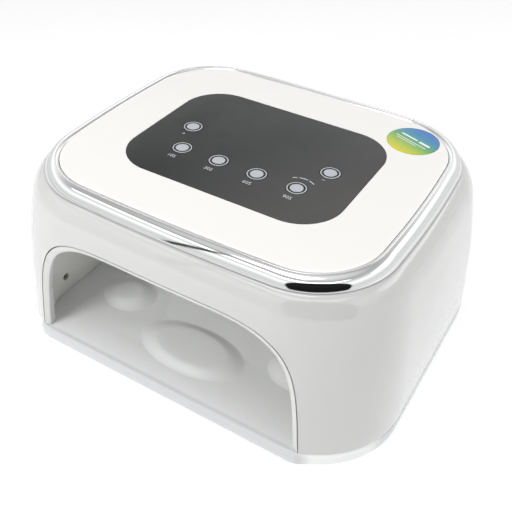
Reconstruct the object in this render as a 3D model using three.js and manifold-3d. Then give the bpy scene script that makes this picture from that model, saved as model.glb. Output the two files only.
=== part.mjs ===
// Nail-curing lamp with UV LEDs: a magnetic base tray and a hand-sized housing that lifts off it.
// Millimetres, +Z up, the hand opening faces -Y. The origin is the centre of the footprint,
// on the surface that the lamp stands on.

import * as THREE from 'three';
import { mergeVertices } from 'three/addons/utils/BufferGeometryUtils.js';
import Module from 'manifold-3d';

const wasm = await Module();
wasm.setup();

// ---------------------------------------------------------------- driving dimensions

const WIDTH = 235;
const DEPTH = 194.4;
const HEIGHT = 106.1;
const BASE_CORNER = 48;
const GAP = 0.3;

// Front corners: the flat front runs out to a crease before the round corner starts. The crease is
// full on the tray and fades out up the housing.
const CREASE_X = 83;
const CREASE_SHARE = 0.3;
const CREASE_END = 85;
const CREASE_FADE = 0.6;

// Outer wall: it leans in with height and rolls over at the shoulder.
const LEAN = 12.8;
const LEAN_POWER = 2.2;
const DEPTH_LEAN = 0.61;
const CORNER_GROWTH = 5;
const CORNER_GROWTH_END = 32;
const SHOULDER_START = 86;
const SHOULDER_FULLNESS = 0.93;

// Trim ring: its outer seam with the shell and its section.
const RING_SEAM_Z = 99.9;
const RING_HALF_X = 100.3;
const RING_HALF_Y = 85.2;
const RING_CORNER = 45.5;
const RING_BOW = 1.2;
const RING_CREST = 6.2;
const RING_WIDTH = 8;
const RING_INNER_DROP = 0.9;
const RING_LEDGE = 1.2;

// Stack of parts, by height.
const FOOT_PROUD = 1;
const TRAY_TOP = 8.8;
const SHELL_BOTTOM = TRAY_TOP + GAP;
const FLANGE_TOP = 11.5;
const DECK_BOTTOM = 95;
const DECK_TOP = 97.5;
const FASCIA_TOP = HEIGHT - 0.3;
const FASCIA_THICK = 3.2;
const FASCIA_SKIRT = 2;
const SHELL_WALL = 2.5;

// Hand chamber and its mouth.
const CHAMBER = { halfX: 92, front: -91, rear: 76, frontRadius: 20, rearRadius: 36 };
const CHAMBER_STRAIGHT = 52;
const CHAMBER_CEILING = 80;
const CHAMBER_ROLL = 24;
const LINER_WALL = 2;
const LINER_LIP = { width: 2.4, thick: 1.5 };
const MOUTH_HALF = 84.8;
const MOUTH_TOP = 80.9;
const MOUTH_POWER = 5.28;
const MOUTH_TAPER = 0.1;
const RIM_WIDTH = 3.9;
const RIM_BACK = -90;
const RIM_CHAMFER = 2;
const THROAT_WALL = 2;
const THROAT_END = -62;

// Finger rests on the chamber floor: low domes, sunk a little so that their edges meet the floor.
const MOUND_RISE = 2.8;
const MOUND_SINK = 0.4;
const MOUNDS = [
  { x: 0, y: -66, halfX: 34, halfY: 18 },
  { x: -58, y: -48, halfX: 17, halfY: 15 },
  { x: 58, y: -48, halfX: 17, halfY: 15 },
];

// Underside of the tray.
const TRAY_SKIRT = 4;
const TRAY_CAVITY_TOP = 6;
const POST_MARGIN = 2;
const RIB_BOTTOM = 2.5;
const RIB_THICK = 2;
const CROSS_RIB_X = 32;
const LONG_RIB_Y = 30;

// Smoked window, keys and badge on the top.
const WINDOW = { halfX: 63.1, halfY: 47.8, radius: 23.5, centreY: -0.4, thick: 1.8, ledge: 3 };
const KEY_RADIUS = 5.4;
const KEY_ROW_Y = -20.1;
const KEY_PITCH = 23.4;
const KEY_PAIR_X = 43.2;
const KEY_PAIR_Y = 1.8;
const KEY_FLANGE_RADIUS = 6.6;
const KEY_FLANGE_THICK = 0.7;
const KEY_FLANGE_DROP = 0.4;
const BADGE = { x: 67.5, y: 56.5, radius: 14.4, thick: 0.5 };

// Electronics.
const PCB = { halfX: 64, halfY: 48, thick: 1.6 };
const PCB_CORNER = 4;
const CHIP = { minX: -9, maxX: 9, minY: -6, maxY: 4, height: 1.6 };
const BOARD_SOCKET = { minX: 50, maxX: 58, minY: 18, maxY: 28, height: 3 };
const CHOKE = { x: 38, y: 32, radius: 4, height: 2.6 };
const DISPLAY = { halfX: 19, minY: 10, maxY: 27, digitPitch: 12, digitHalf: 4.5, digitMargin: 2 };
const WIREWAY = { halfX: 55, halfY: 38, radius: 10 };
const PCB_BOTTOM = DECK_TOP + GAP;
const PCB_TOP = PCB_BOTTOM + PCB.thick;
const SWITCH = { half: 3, height: 2, plungerRadius: 1.7, plungerRise: 0.6 };
const LED_RADIUS = 3.4;
const LED_HOLE = 4;
const LED_PROUD = 1;
const LED_BOARD_THICK = 1.6;
const LED_BOARD_MARGIN = 6;
const SIDE_LED_Z = 35;
const LED_GRIDS = { topX: 46, topFront: -50, topRear: 32, side: 22, back: 35 };
const WIRE_RADIUS = 1.1;

// Fixings.
const SIDE_BOSS = { x: 98.5, y: 36 };
const REAR_BOSS = { x: 60, y: 84.3 };
const BOSS_RADIUS = 3.5;
const SCREW_RADIUS = 1.2;
const SCREW_HEAD_RADIUS = 2.8;
const PCB_SCREW = { x: 58, y: 42 };
const FOOT = { x: 84, y: 68, radius: 6, thick: 2.2 };
const MAGNET = { x: 104, y: 20, radius: 4, thick: 2.4 };
const STRIKE_THICK = 0.8;
const HEAD_RECESS = 1.4;
const BOARD_POST_DROP = 4;

// Power inlet and hand sensors.
const INLET = { x: 45, z: 24, barrelRadius: 4, bodyRadius: 5.5, bore: 2.8, pin: 0.9, depth: 12 };
const SENSOR = { y: -66, z: 19.5, radius: 2.5, hole: 2.3 };

// Smoothness of the curved faces.
const ARC_STEPS = 6;
const SIDE_STEPS = 3;
const ARCH_STEPS = 16;
const SMALL_SIDES = 8;

// ---------------------------------------------------------------- materials

const finish = (color, roughness, metalness = 0) =>
  new THREE.MeshStandardMaterial({ color, roughness, metalness });

const SHELL_WHITE = finish(0xe9ebec, 0.22);
const TRAY_WHITE = finish(0xe4e6e7, 0.3);
const LINER_WHITE = finish(0xdfe0dd, 0.4);
const FASCIA_WHITE = finish(0xf7f6f3, 0.3);
const CHROME = finish(0xdfe2e4, 0.08, 1);
const SMOKED = finish(0x4c4e50, 0.25);
const KEY_GREY = finish(0x55585a, 0.3);
const BADGE_PRINT = finish(0x5fb98a, 0.4);
const RUBBER = finish(0x9a9c9d, 0.8);
const BOARD_GREEN = finish(0x2f6b45, 0.5);
const BOARD_WHITE = finish(0xf2f2ee, 0.5);
const BLACK_PLASTIC = finish(0x1c1d1e, 0.5);
const STEEL = finish(0xb4b7ba, 0.3, 1);
const WIRE_RED = finish(0xa83a34, 0.5);

// ---------------------------------------------------------------- geometry helpers

// A plain closed mesh from an indexed geometry, with shared vertices and no empty triangles.
function closed(geometry) {
  const bare = geometry.clone();
  bare.deleteAttribute('normal');
  bare.deleteAttribute('uv');
  const merged = mergeVertices(bare, 1e-4);
  const index = [];
  for (let i = 0; i < merged.index.count; i += 3) {
    const [a, b, c] = [0, 1, 2].map((k) => merged.index.getX(i + k));
    if (a !== b && b !== c && c !== a) {
      index.push(a, b, c);
    }
  }
  merged.setIndex(index);
  return merged;
}

function solid(geometry) {
  const mesh = closed(geometry);
  return new wasm.Manifold(new wasm.Mesh({
    numProp: 3,
    vertProperties: new Float32Array(mesh.attributes.position.array),
    triVerts: new Uint32Array(mesh.index.array),
  }));
}

function geometryOf(body) {
  const mesh = body.getMesh();
  const geometry = new THREE.BufferGeometry();
  geometry.setAttribute('position', new THREE.BufferAttribute(new Float32Array(mesh.vertProperties), 3));
  geometry.setIndex(new THREE.BufferAttribute(new Uint32Array(mesh.triVerts), 1));
  geometry.computeVertexNormals();
  return geometry;
}

const joined = (bodies) => bodies.reduce((whole, body) => whole.add(body));
const cut = (body, tools) => tools.reduce((rest, tool) => rest.subtract(tool), body);

// A closed skin over rings of points that all have the same count, turning left about the rings' path.
function loft(rings) {
  const count = rings[0].length;
  const points = rings.flat();
  const index = [];
  for (let level = 0; level + 1 < rings.length; level += 1) {
    for (let i = 0; i < count; i += 1) {
      const next = (i + 1) % count;
      const a = level * count;
      const b = a + count;
      index.push(a + i, a + next, b + next, a + i, b + next, b + i);
    }
  }
  const addCap = (ring, start, facingUp) => {
    const centre = points.length;
    points.push(ring.reduce((sum, p) => sum.add(p), new THREE.Vector3()).divideScalar(count));
    for (let i = 0; i < count; i += 1) {
      const next = (i + 1) % count;
      index.push(centre, ...(facingUp ? [start + i, start + next] : [start + next, start + i]));
    }
  };
  addCap(rings[0], 0, false);
  addCap(rings[rings.length - 1], (rings.length - 1) * count, true);
  const geometry = new THREE.BufferGeometry().setFromPoints(points);
  geometry.setIndex(index);
  return geometry;
}

// Rounded rectangle with its own front and rear corners; bow swells each side at its middle, and
// crease draws the front corners out towards the point where the flat front would end at CREASE_X.
function outline(shape, z) {
  const { halfX, halfY, centreY = 0, bow = 0, crease = 0 } = shape;
  const rearRadius = shape.rearRadius ?? shape.radius;
  const frontRadius = shape.frontRadius ?? shape.radius;
  const corners = [
    [1, 1, rearRadius], [-1, 1, rearRadius], [-1, -1, frontRadius], [1, -1, frontRadius],
  ];
  const arcPoint = (corner, angle) => {
    const [sideX, sideY, radius] = corners[corner % 4];
    const x = sideX * (halfX - radius) + radius * Math.cos(angle);
    const y = sideY * (halfY - radius) + radius * Math.sin(angle) + centreY;
    const point = new THREE.Vector3(x, y, z);
    const past = Math.abs(x) - (halfX - radius);
    if (crease > 0 && sideY < 0 && past > 0) {
      point.y -= crease * creaseDepth(past, radius, CREASE_X - halfX + radius);
    }
    return point;
  };
  const points = [];
  for (let corner = 0; corner < 4; corner += 1) {
    for (let i = 0; i <= ARC_STEPS; i += 1) {
      points.push(arcPoint(corner, (corner + i / ARC_STEPS) * Math.PI / 2));
    }
    const outward = (corner + 1) * Math.PI / 2;
    const start = arcPoint(corner, outward);
    const end = arcPoint(corner + 1, outward);
    for (let i = 1; i < SIDE_STEPS; i += 1) {
      const t = i / SIDE_STEPS;
      const swell = 4 * bow * t * (1 - t);
      const push = new THREE.Vector3(Math.cos(outward), Math.sin(outward), 0).multiplyScalar(swell);
      points.push(start.clone().lerp(end, t).add(push));
    }
  }
  return points;
}

// How far a corner with a full crease stands in front of its arc: past is the way along X from the
// arc's start, reach the way from there to the crease. Two lines tangent to the arc meet there.
function creaseDepth(past, radius, reach) {
  const turn = 2 * Math.atan2(reach, radius);
  const end = radius * Math.sin(turn);
  if (past >= end) {
    return 0;
  }
  const onArc = radius - Math.sqrt(radius * radius - past * past);
  const onLines = past <= reach ? 0 : (past - reach) * Math.tan(turn);
  return onArc - onLines;
}

const inset = (shape, by) => ({
  ...shape,
  halfX: shape.halfX - by,
  halfY: shape.halfY - by,
  radius: shape.radius - by,
});

const prism = (shape, bottom, top) => loft([outline(shape, bottom), outline(shape, top)]);

function cylinder(radius, bottom, top, x = 0, y = 0, sides = 16) {
  const geometry = new THREE.CylinderGeometry(radius, radius, top - bottom, sides);
  return geometry.rotateX(Math.PI / 2).translate(x, y, (top + bottom) / 2);
}

function box(minX, maxX, minY, maxY, minZ, maxZ) {
  const geometry = new THREE.BoxGeometry(maxX - minX, maxY - minY, maxZ - minZ);
  return geometry.translate((minX + maxX) / 2, (minY + maxY) / 2, (minZ + maxZ) / 2);
}

// A turned piece about Z: the profile is radius and height pairs, bottom to top, on the axis at both ends.
function turned(profile, x = 0, y = 0, sides = 20) {
  const points = profile.map(([radius, z]) => new THREE.Vector2(radius, z));
  return closed(new THREE.LatheGeometry(points, sides).rotateX(Math.PI / 2).translate(x, y, 0));
}

const mirrored = ({ x, y }) => [[-x, -y], [x, -y], [-x, y], [x, y]];

// ---------------------------------------------------------------- outer form

const BASE = { halfX: WIDTH / 2, halfY: DEPTH / 2, radius: BASE_CORNER, crease: 1 };
const RING = { halfX: RING_HALF_X, halfY: RING_HALF_Y, radius: RING_CORNER, bow: RING_BOW };

const leanAt = (z) => LEAN * Math.max(0, z / HEIGHT) ** LEAN_POWER;

// Share of the shoulder's roll reached at a height: 0 where it starts, 1 at the ring's seam.
function shoulderShare(z) {
  const rise = THREE.MathUtils.clamp((z - SHOULDER_START) / (RING_SEAM_Z - SHOULDER_START), 0, 1);
  const roll = (t) => 1 - Math.sqrt(1 - SHOULDER_FULLNESS * t * t);
  return roll(rise) / roll(1);
}

// The shell's outer outline at a height.
function wallAt(z) {
  const lean = leanAt(z);
  const share = shoulderShare(z);
  const seamLean = leanAt(RING_SEAM_Z);
  const grown = BASE_CORNER + CORNER_GROWTH * Math.min(1, z / CORNER_GROWTH_END);
  return {
    halfX: BASE.halfX - lean - share * (BASE.halfX - seamLean - RING_HALF_X),
    halfY: BASE.halfY - DEPTH_LEAN * lean - share * (BASE.halfY - DEPTH_LEAN * seamLean - RING_HALF_Y),
    radius: grown + share * (RING_CORNER - grown),
    bow: RING_BOW * THREE.MathUtils.clamp((z - SHELL_BOTTOM) / (RING_SEAM_Z - SHELL_BOTTOM), 0, 1),
    crease: CREASE_SHARE * Math.max(0, 1 - z / CREASE_END) ** CREASE_FADE,
  };
}

// Solid inside the shell's outer surface, drawn in by a thickness, between two heights.
function bodySolid(thickness, bottom, top) {
  const heights = [20, 35, 50, 65, 76, 84, 88, 93, 97].filter((z) => z > bottom && z < top);
  return solid(loft([bottom, ...heights, top].map((z) => outline(inset(wallAt(z), thickness), z))));
}

// Arch of the hand opening, drawn in from the shell's cut edge, as a closed ring at a depth along Y.
function archRing(drawnIn, y) {
  const half = MOUTH_HALF - drawnIn;
  const top = MOUTH_TOP - drawnIn;
  const points = [new THREE.Vector3(-half, y, -5)];
  for (let i = 0; i <= ARCH_STEPS; i += 1) {
    const angle = Math.PI * (1 - i / ARCH_STEPS);
    const reach = Math.abs(Math.cos(angle)) ** (2 / MOUTH_POWER) * Math.sign(Math.cos(angle));
    const rise = Math.max(0, Math.sin(angle)) ** (2 / MOUTH_POWER);
    points.push(new THREE.Vector3(half * reach * (1 - MOUTH_TAPER * rise), y, top * rise));
  }
  points.push(new THREE.Vector3(half, y, -5));
  return points;
}

const archSolid = (sections) => solid(loft(sections.map(([drawnIn, y]) => archRing(drawnIn, y))));

// ---------------------------------------------------------------- hand chamber

// The chamber's surface, grown outwards by a thickness; its ceiling rolls in all round.
function chamberSolid(grown, bottom) {
  const straight = {
    halfX: CHAMBER.halfX + grown,
    halfY: (CHAMBER.rear - CHAMBER.front) / 2 + grown,
    centreY: (CHAMBER.rear + CHAMBER.front) / 2,
    frontRadius: CHAMBER.frontRadius + grown,
    rearRadius: CHAMBER.rearRadius + grown,
  };
  const rollHeight = CHAMBER_CEILING + grown - CHAMBER_STRAIGHT;
  const steps = 4;
  const rings = [outline(straight, bottom)];
  for (let i = 0; i <= steps; i += 1) {
    const angle = Math.PI / 2 * i / steps;
    const drawnIn = CHAMBER_ROLL * (1 - Math.cos(angle));
    rings.push(outline({
      ...straight,
      halfX: straight.halfX - drawnIn,
      halfY: straight.halfY - drawnIn,
      frontRadius: straight.frontRadius - 0.5 * drawnIn,
      rearRadius: straight.rearRadius - 0.5 * drawnIn,
    }, CHAMBER_STRAIGHT + rollHeight * Math.sin(angle)));
  }
  return solid(loft(rings));
}

// LED places: face is the chamber wall that they shine through.
const grid = (from, to, count) =>
  Array.from({ length: count }, (_, i) => from + (to - from) * i / (count - 1));
const LED_PLACES = {
  top: grid(-LED_GRIDS.topX, LED_GRIDS.topX, 5).flatMap((x) =>
    grid(LED_GRIDS.topFront, LED_GRIDS.topRear, 4).map((y) => [x, y, CHAMBER_CEILING])),
  left: grid(-LED_GRIDS.side, LED_GRIDS.side, 5).map((y) => [-CHAMBER.halfX, y, SIDE_LED_Z]),
  right: grid(-LED_GRIDS.side, LED_GRIDS.side, 5).map((y) => [CHAMBER.halfX, y, SIDE_LED_Z]),
  back: grid(-LED_GRIDS.back, LED_GRIDS.back, 6).map((x) => [x, CHAMBER.rear, SIDE_LED_Z]),
};
const LED_TURNS = {
  top: new THREE.Matrix4(),
  left: new THREE.Matrix4().makeRotationY(-Math.PI / 2),
  right: new THREE.Matrix4().makeRotationY(Math.PI / 2),
  back: new THREE.Matrix4().makeRotationX(-Math.PI / 2),
};

// A piece drawn about Z with its foot outside the chamber, turned to a face and moved to a place on it.
function onFace(geometry, face, [x, y, z]) {
  return solid(geometry).transform([...LED_TURNS[face].elements]).translate([x, y, z]);
}

const ledHoles = () => Object.entries(LED_PLACES).flatMap(([face, places]) =>
  places.map((place) => onFace(cylinder(LED_HOLE, -3, LINER_WALL + 2, 0, 0, SMALL_SIDES), face, place)));

// ---------------------------------------------------------------- the parts

const ABOVE = HEIGHT + 1;
const INSIDE_TOP = TRAY_CAVITY_TOP + 1;

function makeMound({ x, y, halfX, halfY }) {
  const ball = new THREE.SphereGeometry(1, 16, 8).rotateX(Math.PI / 2);
  ball.scale(halfX, halfY, MOUND_RISE + MOUND_SINK);
  const dome = solid(ball.translate(x, y, TRAY_TOP - MOUND_SINK));
  return dome.intersect(solid(box(-WIDTH, WIDTH, -DEPTH, DEPTH, INSIDE_TOP, HEIGHT)));
}

function makeTray() {
  const plate = loft([
    outline(inset(BASE, 1.2), FOOT_PROUD),
    outline(BASE, FOOT_PROUD + 1.2),
    outline(BASE, TRAY_TOP - 1),
    outline(inset(BASE, 0.8), TRAY_TOP),
  ]);
  const cavity = solid(prism(inset(BASE, TRAY_SKIRT), -1, TRAY_CAVITY_TOP));
  const ribX = BASE.halfX - TRAY_SKIRT + 1;
  const ribY = BASE.halfY - TRAY_SKIRT + 1;
  const half = RIB_THICK / 2;
  const rib = (...span) => solid(box(...span, RIB_BOTTOM, INSIDE_TOP));
  const crossRibs = [-CROSS_RIB_X, CROSS_RIB_X].map((x) => rib(x - half, x + half, -ribY, ribY));
  const longRibs = [-LONG_RIB_Y, LONG_RIB_Y].map((y) => rib(-ribX, ribX, y - half, y + half));
  const posts = (spot, bottom) => mirrored(spot).map(([x, y]) =>
    solid(cylinder(spot.radius + POST_MARGIN, bottom, INSIDE_TOP, x, y)));
  const pockets = (spot, bottom, top) => mirrored(spot).map(([x, y]) =>
    solid(cylinder(spot.radius + GAP, bottom, top, x, y)));
  const magnetFloor = TRAY_TOP - MAGNET.thick - 2 * GAP;
  const shell = joined([
    solid(plate).subtract(cavity), ...crossRibs, ...longRibs,
    ...posts(FOOT, FOOT_PROUD), ...posts(MAGNET, magnetFloor - POST_MARGIN), ...MOUNDS.map(makeMound),
  ]);
  return cut(shell, [...pockets(FOOT, -1, FOOT.thick + GAP), ...pockets(MAGNET, magnetFloor, HEIGHT)]);
}

const bosses = [...mirrored(SIDE_BOSS), [-REAR_BOSS.x, REAR_BOSS.y], [REAR_BOSS.x, REAR_BOSS.y]];

// Outer wall with a lip at its top edge, under which the deck is held.
function makeShell() {
  const cavity = bodySolid(SHELL_WALL, 0, DECK_TOP + GAP);
  const hull = bodySolid(0, SHELL_BOTTOM, RING_SEAM_Z - GAP).subtract(cavity);
  const recess = solid(prism(inset(RING, RING_LEDGE), DECK_TOP, HEIGHT));
  const mouth = archSolid([[0, -DEPTH], [0, -DEPTH / 3]]);
  const inletBore = cylinder(INLET.barrelRadius + GAP, -30, 30).rotateX(Math.PI / 2);
  const inletHole = solid(inletBore.translate(INLET.x, DEPTH / 2, INLET.z));
  return cut(hull, [recess, mouth, inletHole]);
}

// Deck that carries the control board, with long posts down to the bottom frame.
function makeDeck() {
  const plate = solid(prism(inset(wallAt(DECK_TOP), SHELL_WALL + GAP), DECK_BOTTOM, DECK_TOP));
  const post = (radius, bottom) => ([x, y]) =>
    solid(cylinder(radius, bottom, DECK_BOTTOM + 1, x, y, SMALL_SIDES));
  const pilot = (bottom, top) => ([x, y]) =>
    solid(cylinder(SCREW_RADIUS + GAP, bottom, top, x, y, SMALL_SIDES));
  const posts = bosses.map(post(BOSS_RADIUS, FLANGE_TOP + GAP));
  const boardPosts = mirrored(PCB_SCREW).map(post(BOSS_RADIUS - 0.5, DECK_BOTTOM - BOARD_POST_DROP));
  const wireway = solid(prism(WIREWAY, DECK_BOTTOM - 10, HEIGHT));
  const pilots = bosses.map(pilot(0, FLANGE_TOP + 12));
  const boardPilots = mirrored(PCB_SCREW).map(pilot(DECK_BOTTOM - 10, HEIGHT));
  const inside = bodySolid(SHELL_WALL + GAP, SHELL_BOTTOM, DECK_TOP);
  const deck = joined([plate, ...posts, ...boardPosts]).intersect(inside);
  return cut(deck, [wireway, ...pilots, ...boardPilots]);
}

// Section of the trim ring: distance in from the seam and height, up the convex face and down inside.
function ringSection() {
  const start = THREE.MathUtils.degToRad(25);
  const end = THREE.MathUtils.degToRad(88);
  const across = RING_CREST / (Math.cos(start) - Math.cos(end));
  const upward = (HEIGHT - RING_SEAM_Z) / (Math.sin(end) - Math.sin(start));
  const steps = 5;
  const face = [];
  for (let i = 0; i <= steps; i += 1) {
    const angle = start + (end - start) * i / steps;
    face.push([across * (Math.cos(start) - Math.cos(angle)),
      RING_SEAM_Z + upward * (Math.sin(angle) - Math.sin(start))]);
  }
  const foot = DECK_TOP + GAP;
  return [
    [RING_LEDGE + GAP, foot], [RING_LEDGE + GAP, RING_SEAM_Z], ...face,
    [RING_WIDTH, HEIGHT - RING_INNER_DROP], [RING_WIDTH, foot],
  ];
}

function makeRing() {
  const section = ringSection();
  const rings = section.map(([drawnIn, z]) => outline(inset(RING, drawnIn), z));
  const count = rings[0].length;
  const index = [];
  rings.forEach((_, level) => {
    const a = level * count;
    const b = ((level + 1) % rings.length) * count;
    for (let i = 0; i < count; i += 1) {
      const next = (i + 1) % count;
      index.push(a + i, a + next, b + next, a + i, b + next, b + i);
    }
  });
  const geometry = new THREE.BufferGeometry().setFromPoints(rings.flat());
  geometry.setIndex(index);
  return geometry;
}

function makeFascia() {
  const edge = inset(RING, RING_WIDTH + GAP);
  const plate = loft([
    outline(edge, DECK_TOP + GAP),
    outline(edge, HEIGHT - RING_INNER_DROP),
    outline(inset(edge, 1.5), FASCIA_TOP),
  ]);
  const underside = FASCIA_TOP - FASCIA_THICK;
  const hollow = solid(prism(inset(edge, FASCIA_SKIRT), DECK_BOTTOM, underside));
  const seat = solid(prism(inset(WINDOW, -GAP), FASCIA_TOP - WINDOW.thick - GAP, ABOVE));
  const opening = solid(prism(inset(WINDOW, WINDOW.ledge), DECK_BOTTOM, ABOVE));
  const badgeSeat = solid(badgeDisc(BADGE.radius + GAP, FASCIA_TOP - BADGE.thick, ABOVE));
  return cut(solid(plate), [hollow, seat, opening, badgeSeat]);
}

const badgeDisc = (radius, bottom, top) => cylinder(radius, bottom, top, BADGE.x, BADGE.y, 24);

const KEYS = [
  { name: 'key_10s', x: -1.5 * KEY_PITCH, y: KEY_ROW_Y },
  { name: 'key_30s', x: -0.5 * KEY_PITCH, y: KEY_ROW_Y },
  { name: 'key_60s', x: 0.5 * KEY_PITCH, y: KEY_ROW_Y },
  { name: 'key_90s', x: 1.5 * KEY_PITCH, y: KEY_ROW_Y },
  { name: 'key_left', x: -KEY_PAIR_X, y: KEY_PAIR_Y },
  { name: 'key_right', x: KEY_PAIR_X, y: KEY_PAIR_Y },
];

function makeWindow() {
  const plate = solid(prism(WINDOW, FASCIA_TOP - WINDOW.thick, FASCIA_TOP));
  return cut(plate, KEYS.map(({ x, y }) => solid(cylinder(KEY_RADIUS + GAP, DECK_TOP, ABOVE, x, y))));
}

function makeKey({ x, y }) {
  const flangeTop = FASCIA_TOP - WINDOW.thick - KEY_FLANGE_DROP;
  const flangeBottom = flangeTop - KEY_FLANGE_THICK;
  return turned([
    [0, flangeBottom], [KEY_FLANGE_RADIUS, flangeBottom], [KEY_FLANGE_RADIUS, flangeTop],
    [KEY_RADIUS, flangeTop], [KEY_RADIUS, FASCIA_TOP - 0.2], [KEY_RADIUS - 0.2, FASCIA_TOP],
    [0, FASCIA_TOP],
  ], x, y, 16);
}

function makeBadge() {
  return badgeDisc(BADGE.radius, FASCIA_TOP - BADGE.thick + 0.1, FASCIA_TOP + 0.2);
}

// Reflector that makes the hand chamber: a dome, the throat that leads into it and a lip at its foot.
function makeLiner() {
  const inside = bodySolid(SHELL_WALL + GAP, SHELL_BOTTOM, SHOULDER_START);
  const dome = chamberSolid(LINER_WALL, 0).intersect(inside);
  const lipBottom = FLANGE_TOP + GAP;
  const lipSlab = solid(box(-WIDTH, WIDTH, -DEPTH, DEPTH, lipBottom, lipBottom + LINER_LIP.thick));
  const lip = chamberSolid(LINER_WALL + LINER_LIP.width, 0).intersect(inside).intersect(lipSlab);
  const throatStart = RIM_BACK + GAP;
  const throatSide = RIM_WIDTH - THROAT_WALL;
  const throat = archSolid([[throatSide, throatStart], [throatSide, THROAT_END]]).intersect(inside);
  const rimSpace = archSolid([[0, -DEPTH], [0, throatStart]]);
  const tunnel = archSolid([[RIM_WIDTH, -DEPTH], [RIM_WIDTH, THROAT_END + 2]]);
  const sensorHole = solid(cylinder(SENSOR.hole, -WIDTH, WIDTH, 0, 0, 12).rotateY(Math.PI / 2)
    .translate(0, SENSOR.y, SENSOR.z));
  const postSpace = bosses.map(([x, y]) => solid(cylinder(BOSS_RADIUS + GAP, 0, HEIGHT, x, y)));
  const openings = [chamberSolid(0, -1), rimSpace, tunnel, sensorHole, ...ledHoles()];
  return cut(joined([dome, throat, cut(lip, postSpace)]), openings);
}

// Frame round the hand opening, flush with the shell's front and chamfered towards the opening.
function makeMouthRim() {
  const limit = bodySolid(GAP, SHELL_BOTTOM, SHOULDER_START);
  const frame = archSolid([[GAP, -DEPTH], [GAP, RIM_BACK]]).intersect(limit);
  const frontY = -DEPTH / 2;
  const opening = archSolid([
    [2 * GAP, frontY - RIM_CHAMFER], [2 * GAP, frontY], [RIM_WIDTH, frontY + RIM_CHAMFER], [RIM_WIDTH, -60],
  ]);
  return frame.subtract(opening);
}

// Flat frame that closes the housing's underside round the hand chamber.
function makeBottomFrame() {
  const inside = bodySolid(SHELL_WALL + GAP, SHELL_BOTTOM, FLANGE_TOP);
  const screwHoles = bosses.flatMap(([x, y]) => [
    solid(cylinder(SCREW_RADIUS + GAP, 0, 20, x, y, SMALL_SIDES)),
    solid(cylinder(SCREW_HEAD_RADIUS + GAP, 0, SHELL_BOTTOM + HEAD_RECESS, x, y)),
  ]);
  const strikePockets = mirrored(MAGNET).map(([x, y]) =>
    solid(cylinder(MAGNET.radius + GAP, 0, SHELL_BOTTOM + HEAD_RECESS, x, y)));
  const chamber = chamberSolid(LINER_WALL + GAP, -1);
  const front = solid(box(-WIDTH, WIDTH, -DEPTH, CHAMBER.front + CHAMBER.frontRadius, -1, HEIGHT));
  return cut(inside, [chamber, front, ...screwHoles, ...strikePockets]);
}

// A light board outside a chamber wall, with its LED lenses reaching through the wall.
function makeLightBoard(face) {
  const back = LINER_WALL + GAP;
  const lens = turned([
    [0, -LED_PROUD], [LED_RADIUS - 1, -LED_PROUD + 0.3], [LED_RADIUS, 0.4], [LED_RADIUS, back + 0.5],
    [0, back + 0.5],
  ], 0, 0, SMALL_SIDES);
  const lenses = LED_PLACES[face].map((place) => onFace(lens, face, place));
  const turn = LED_TURNS[face];
  const points = LED_PLACES[face].map((place) => new THREE.Vector3(...place));
  const spread = new THREE.Box3().setFromPoints(points);
  const size = spread.getSize(new THREE.Vector3()).applyMatrix4(turn.clone().invert());
  const halfX = Math.abs(size.x) / 2 + LED_BOARD_MARGIN;
  const halfY = Math.abs(size.y) / 2 + LED_BOARD_MARGIN;
  const plate = box(-halfX, halfX, -halfY, halfY, back, back + LED_BOARD_THICK).applyMatrix4(turn);
  const centre = spread.getCenter(new THREE.Vector3());
  return joined([solid(plate.translate(centre.x, centre.y, centre.z)), ...lenses]);
}

function makeControlBoard() {
  const board = solid(prism({ ...PCB, radius: PCB_CORNER }, PCB_BOTTOM, PCB_TOP));
  const root = PCB_TOP - 0.4;
  const onBoard = ({ minX, maxX, minY, maxY, height }) =>
    solid(box(minX, maxX, minY, maxY, root, PCB_TOP + height));
  const chip = onBoard(CHIP);
  const powerSocket = onBoard(BOARD_SOCKET);
  const choke = solid(cylinder(CHOKE.radius, root, PCB_TOP + CHOKE.height, CHOKE.x, CHOKE.y));
  const holes = mirrored(PCB_SCREW).map(([x, y]) =>
    solid(cylinder(SCREW_RADIUS + GAP, DECK_BOTTOM, ABOVE, x, y, SMALL_SIDES)));
  return cut(joined([board, chip, powerSocket, choke]), holes);
}

function makeDisplay() {
  const { halfX, minY, maxY, digitPitch, digitHalf, digitMargin } = DISPLAY;
  const top = FASCIA_TOP - WINDOW.thick - GAP;
  const frame = solid(box(-halfX, halfX, minY, maxY, PCB_TOP + GAP, top));
  const digits = [-digitPitch, 0, digitPitch].map((x) =>
    solid(box(x - digitHalf, x + digitHalf, minY + digitMargin, maxY - digitMargin, top - GAP, ABOVE)));
  return cut(frame, digits);
}

function makeSwitch({ x, y }) {
  const bottom = PCB_TOP + GAP;
  const top = bottom + SWITCH.height;
  const body = solid(box(x - SWITCH.half, x + SWITCH.half, y - SWITCH.half, y + SWITCH.half, bottom, top));
  const plunger = cylinder(SWITCH.plungerRadius, top - 0.5, top + SWITCH.plungerRise, x, y, SMALL_SIDES);
  return body.add(solid(plunger));
}

function makeScrew(x, y, headBottom, headUp, length) {
  const head = [[0, 0], [SCREW_HEAD_RADIUS, 0], [SCREW_HEAD_RADIUS, 1]];
  const shank = [[SCREW_RADIUS, 1], [SCREW_RADIUS, length - 1], [0, length]];
  const geometry = turned([...head, ...shank], 0, 0, SMALL_SIDES);
  if (headUp) {
    geometry.rotateX(Math.PI);
  }
  return geometry.translate(x, y, headBottom);
}

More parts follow.
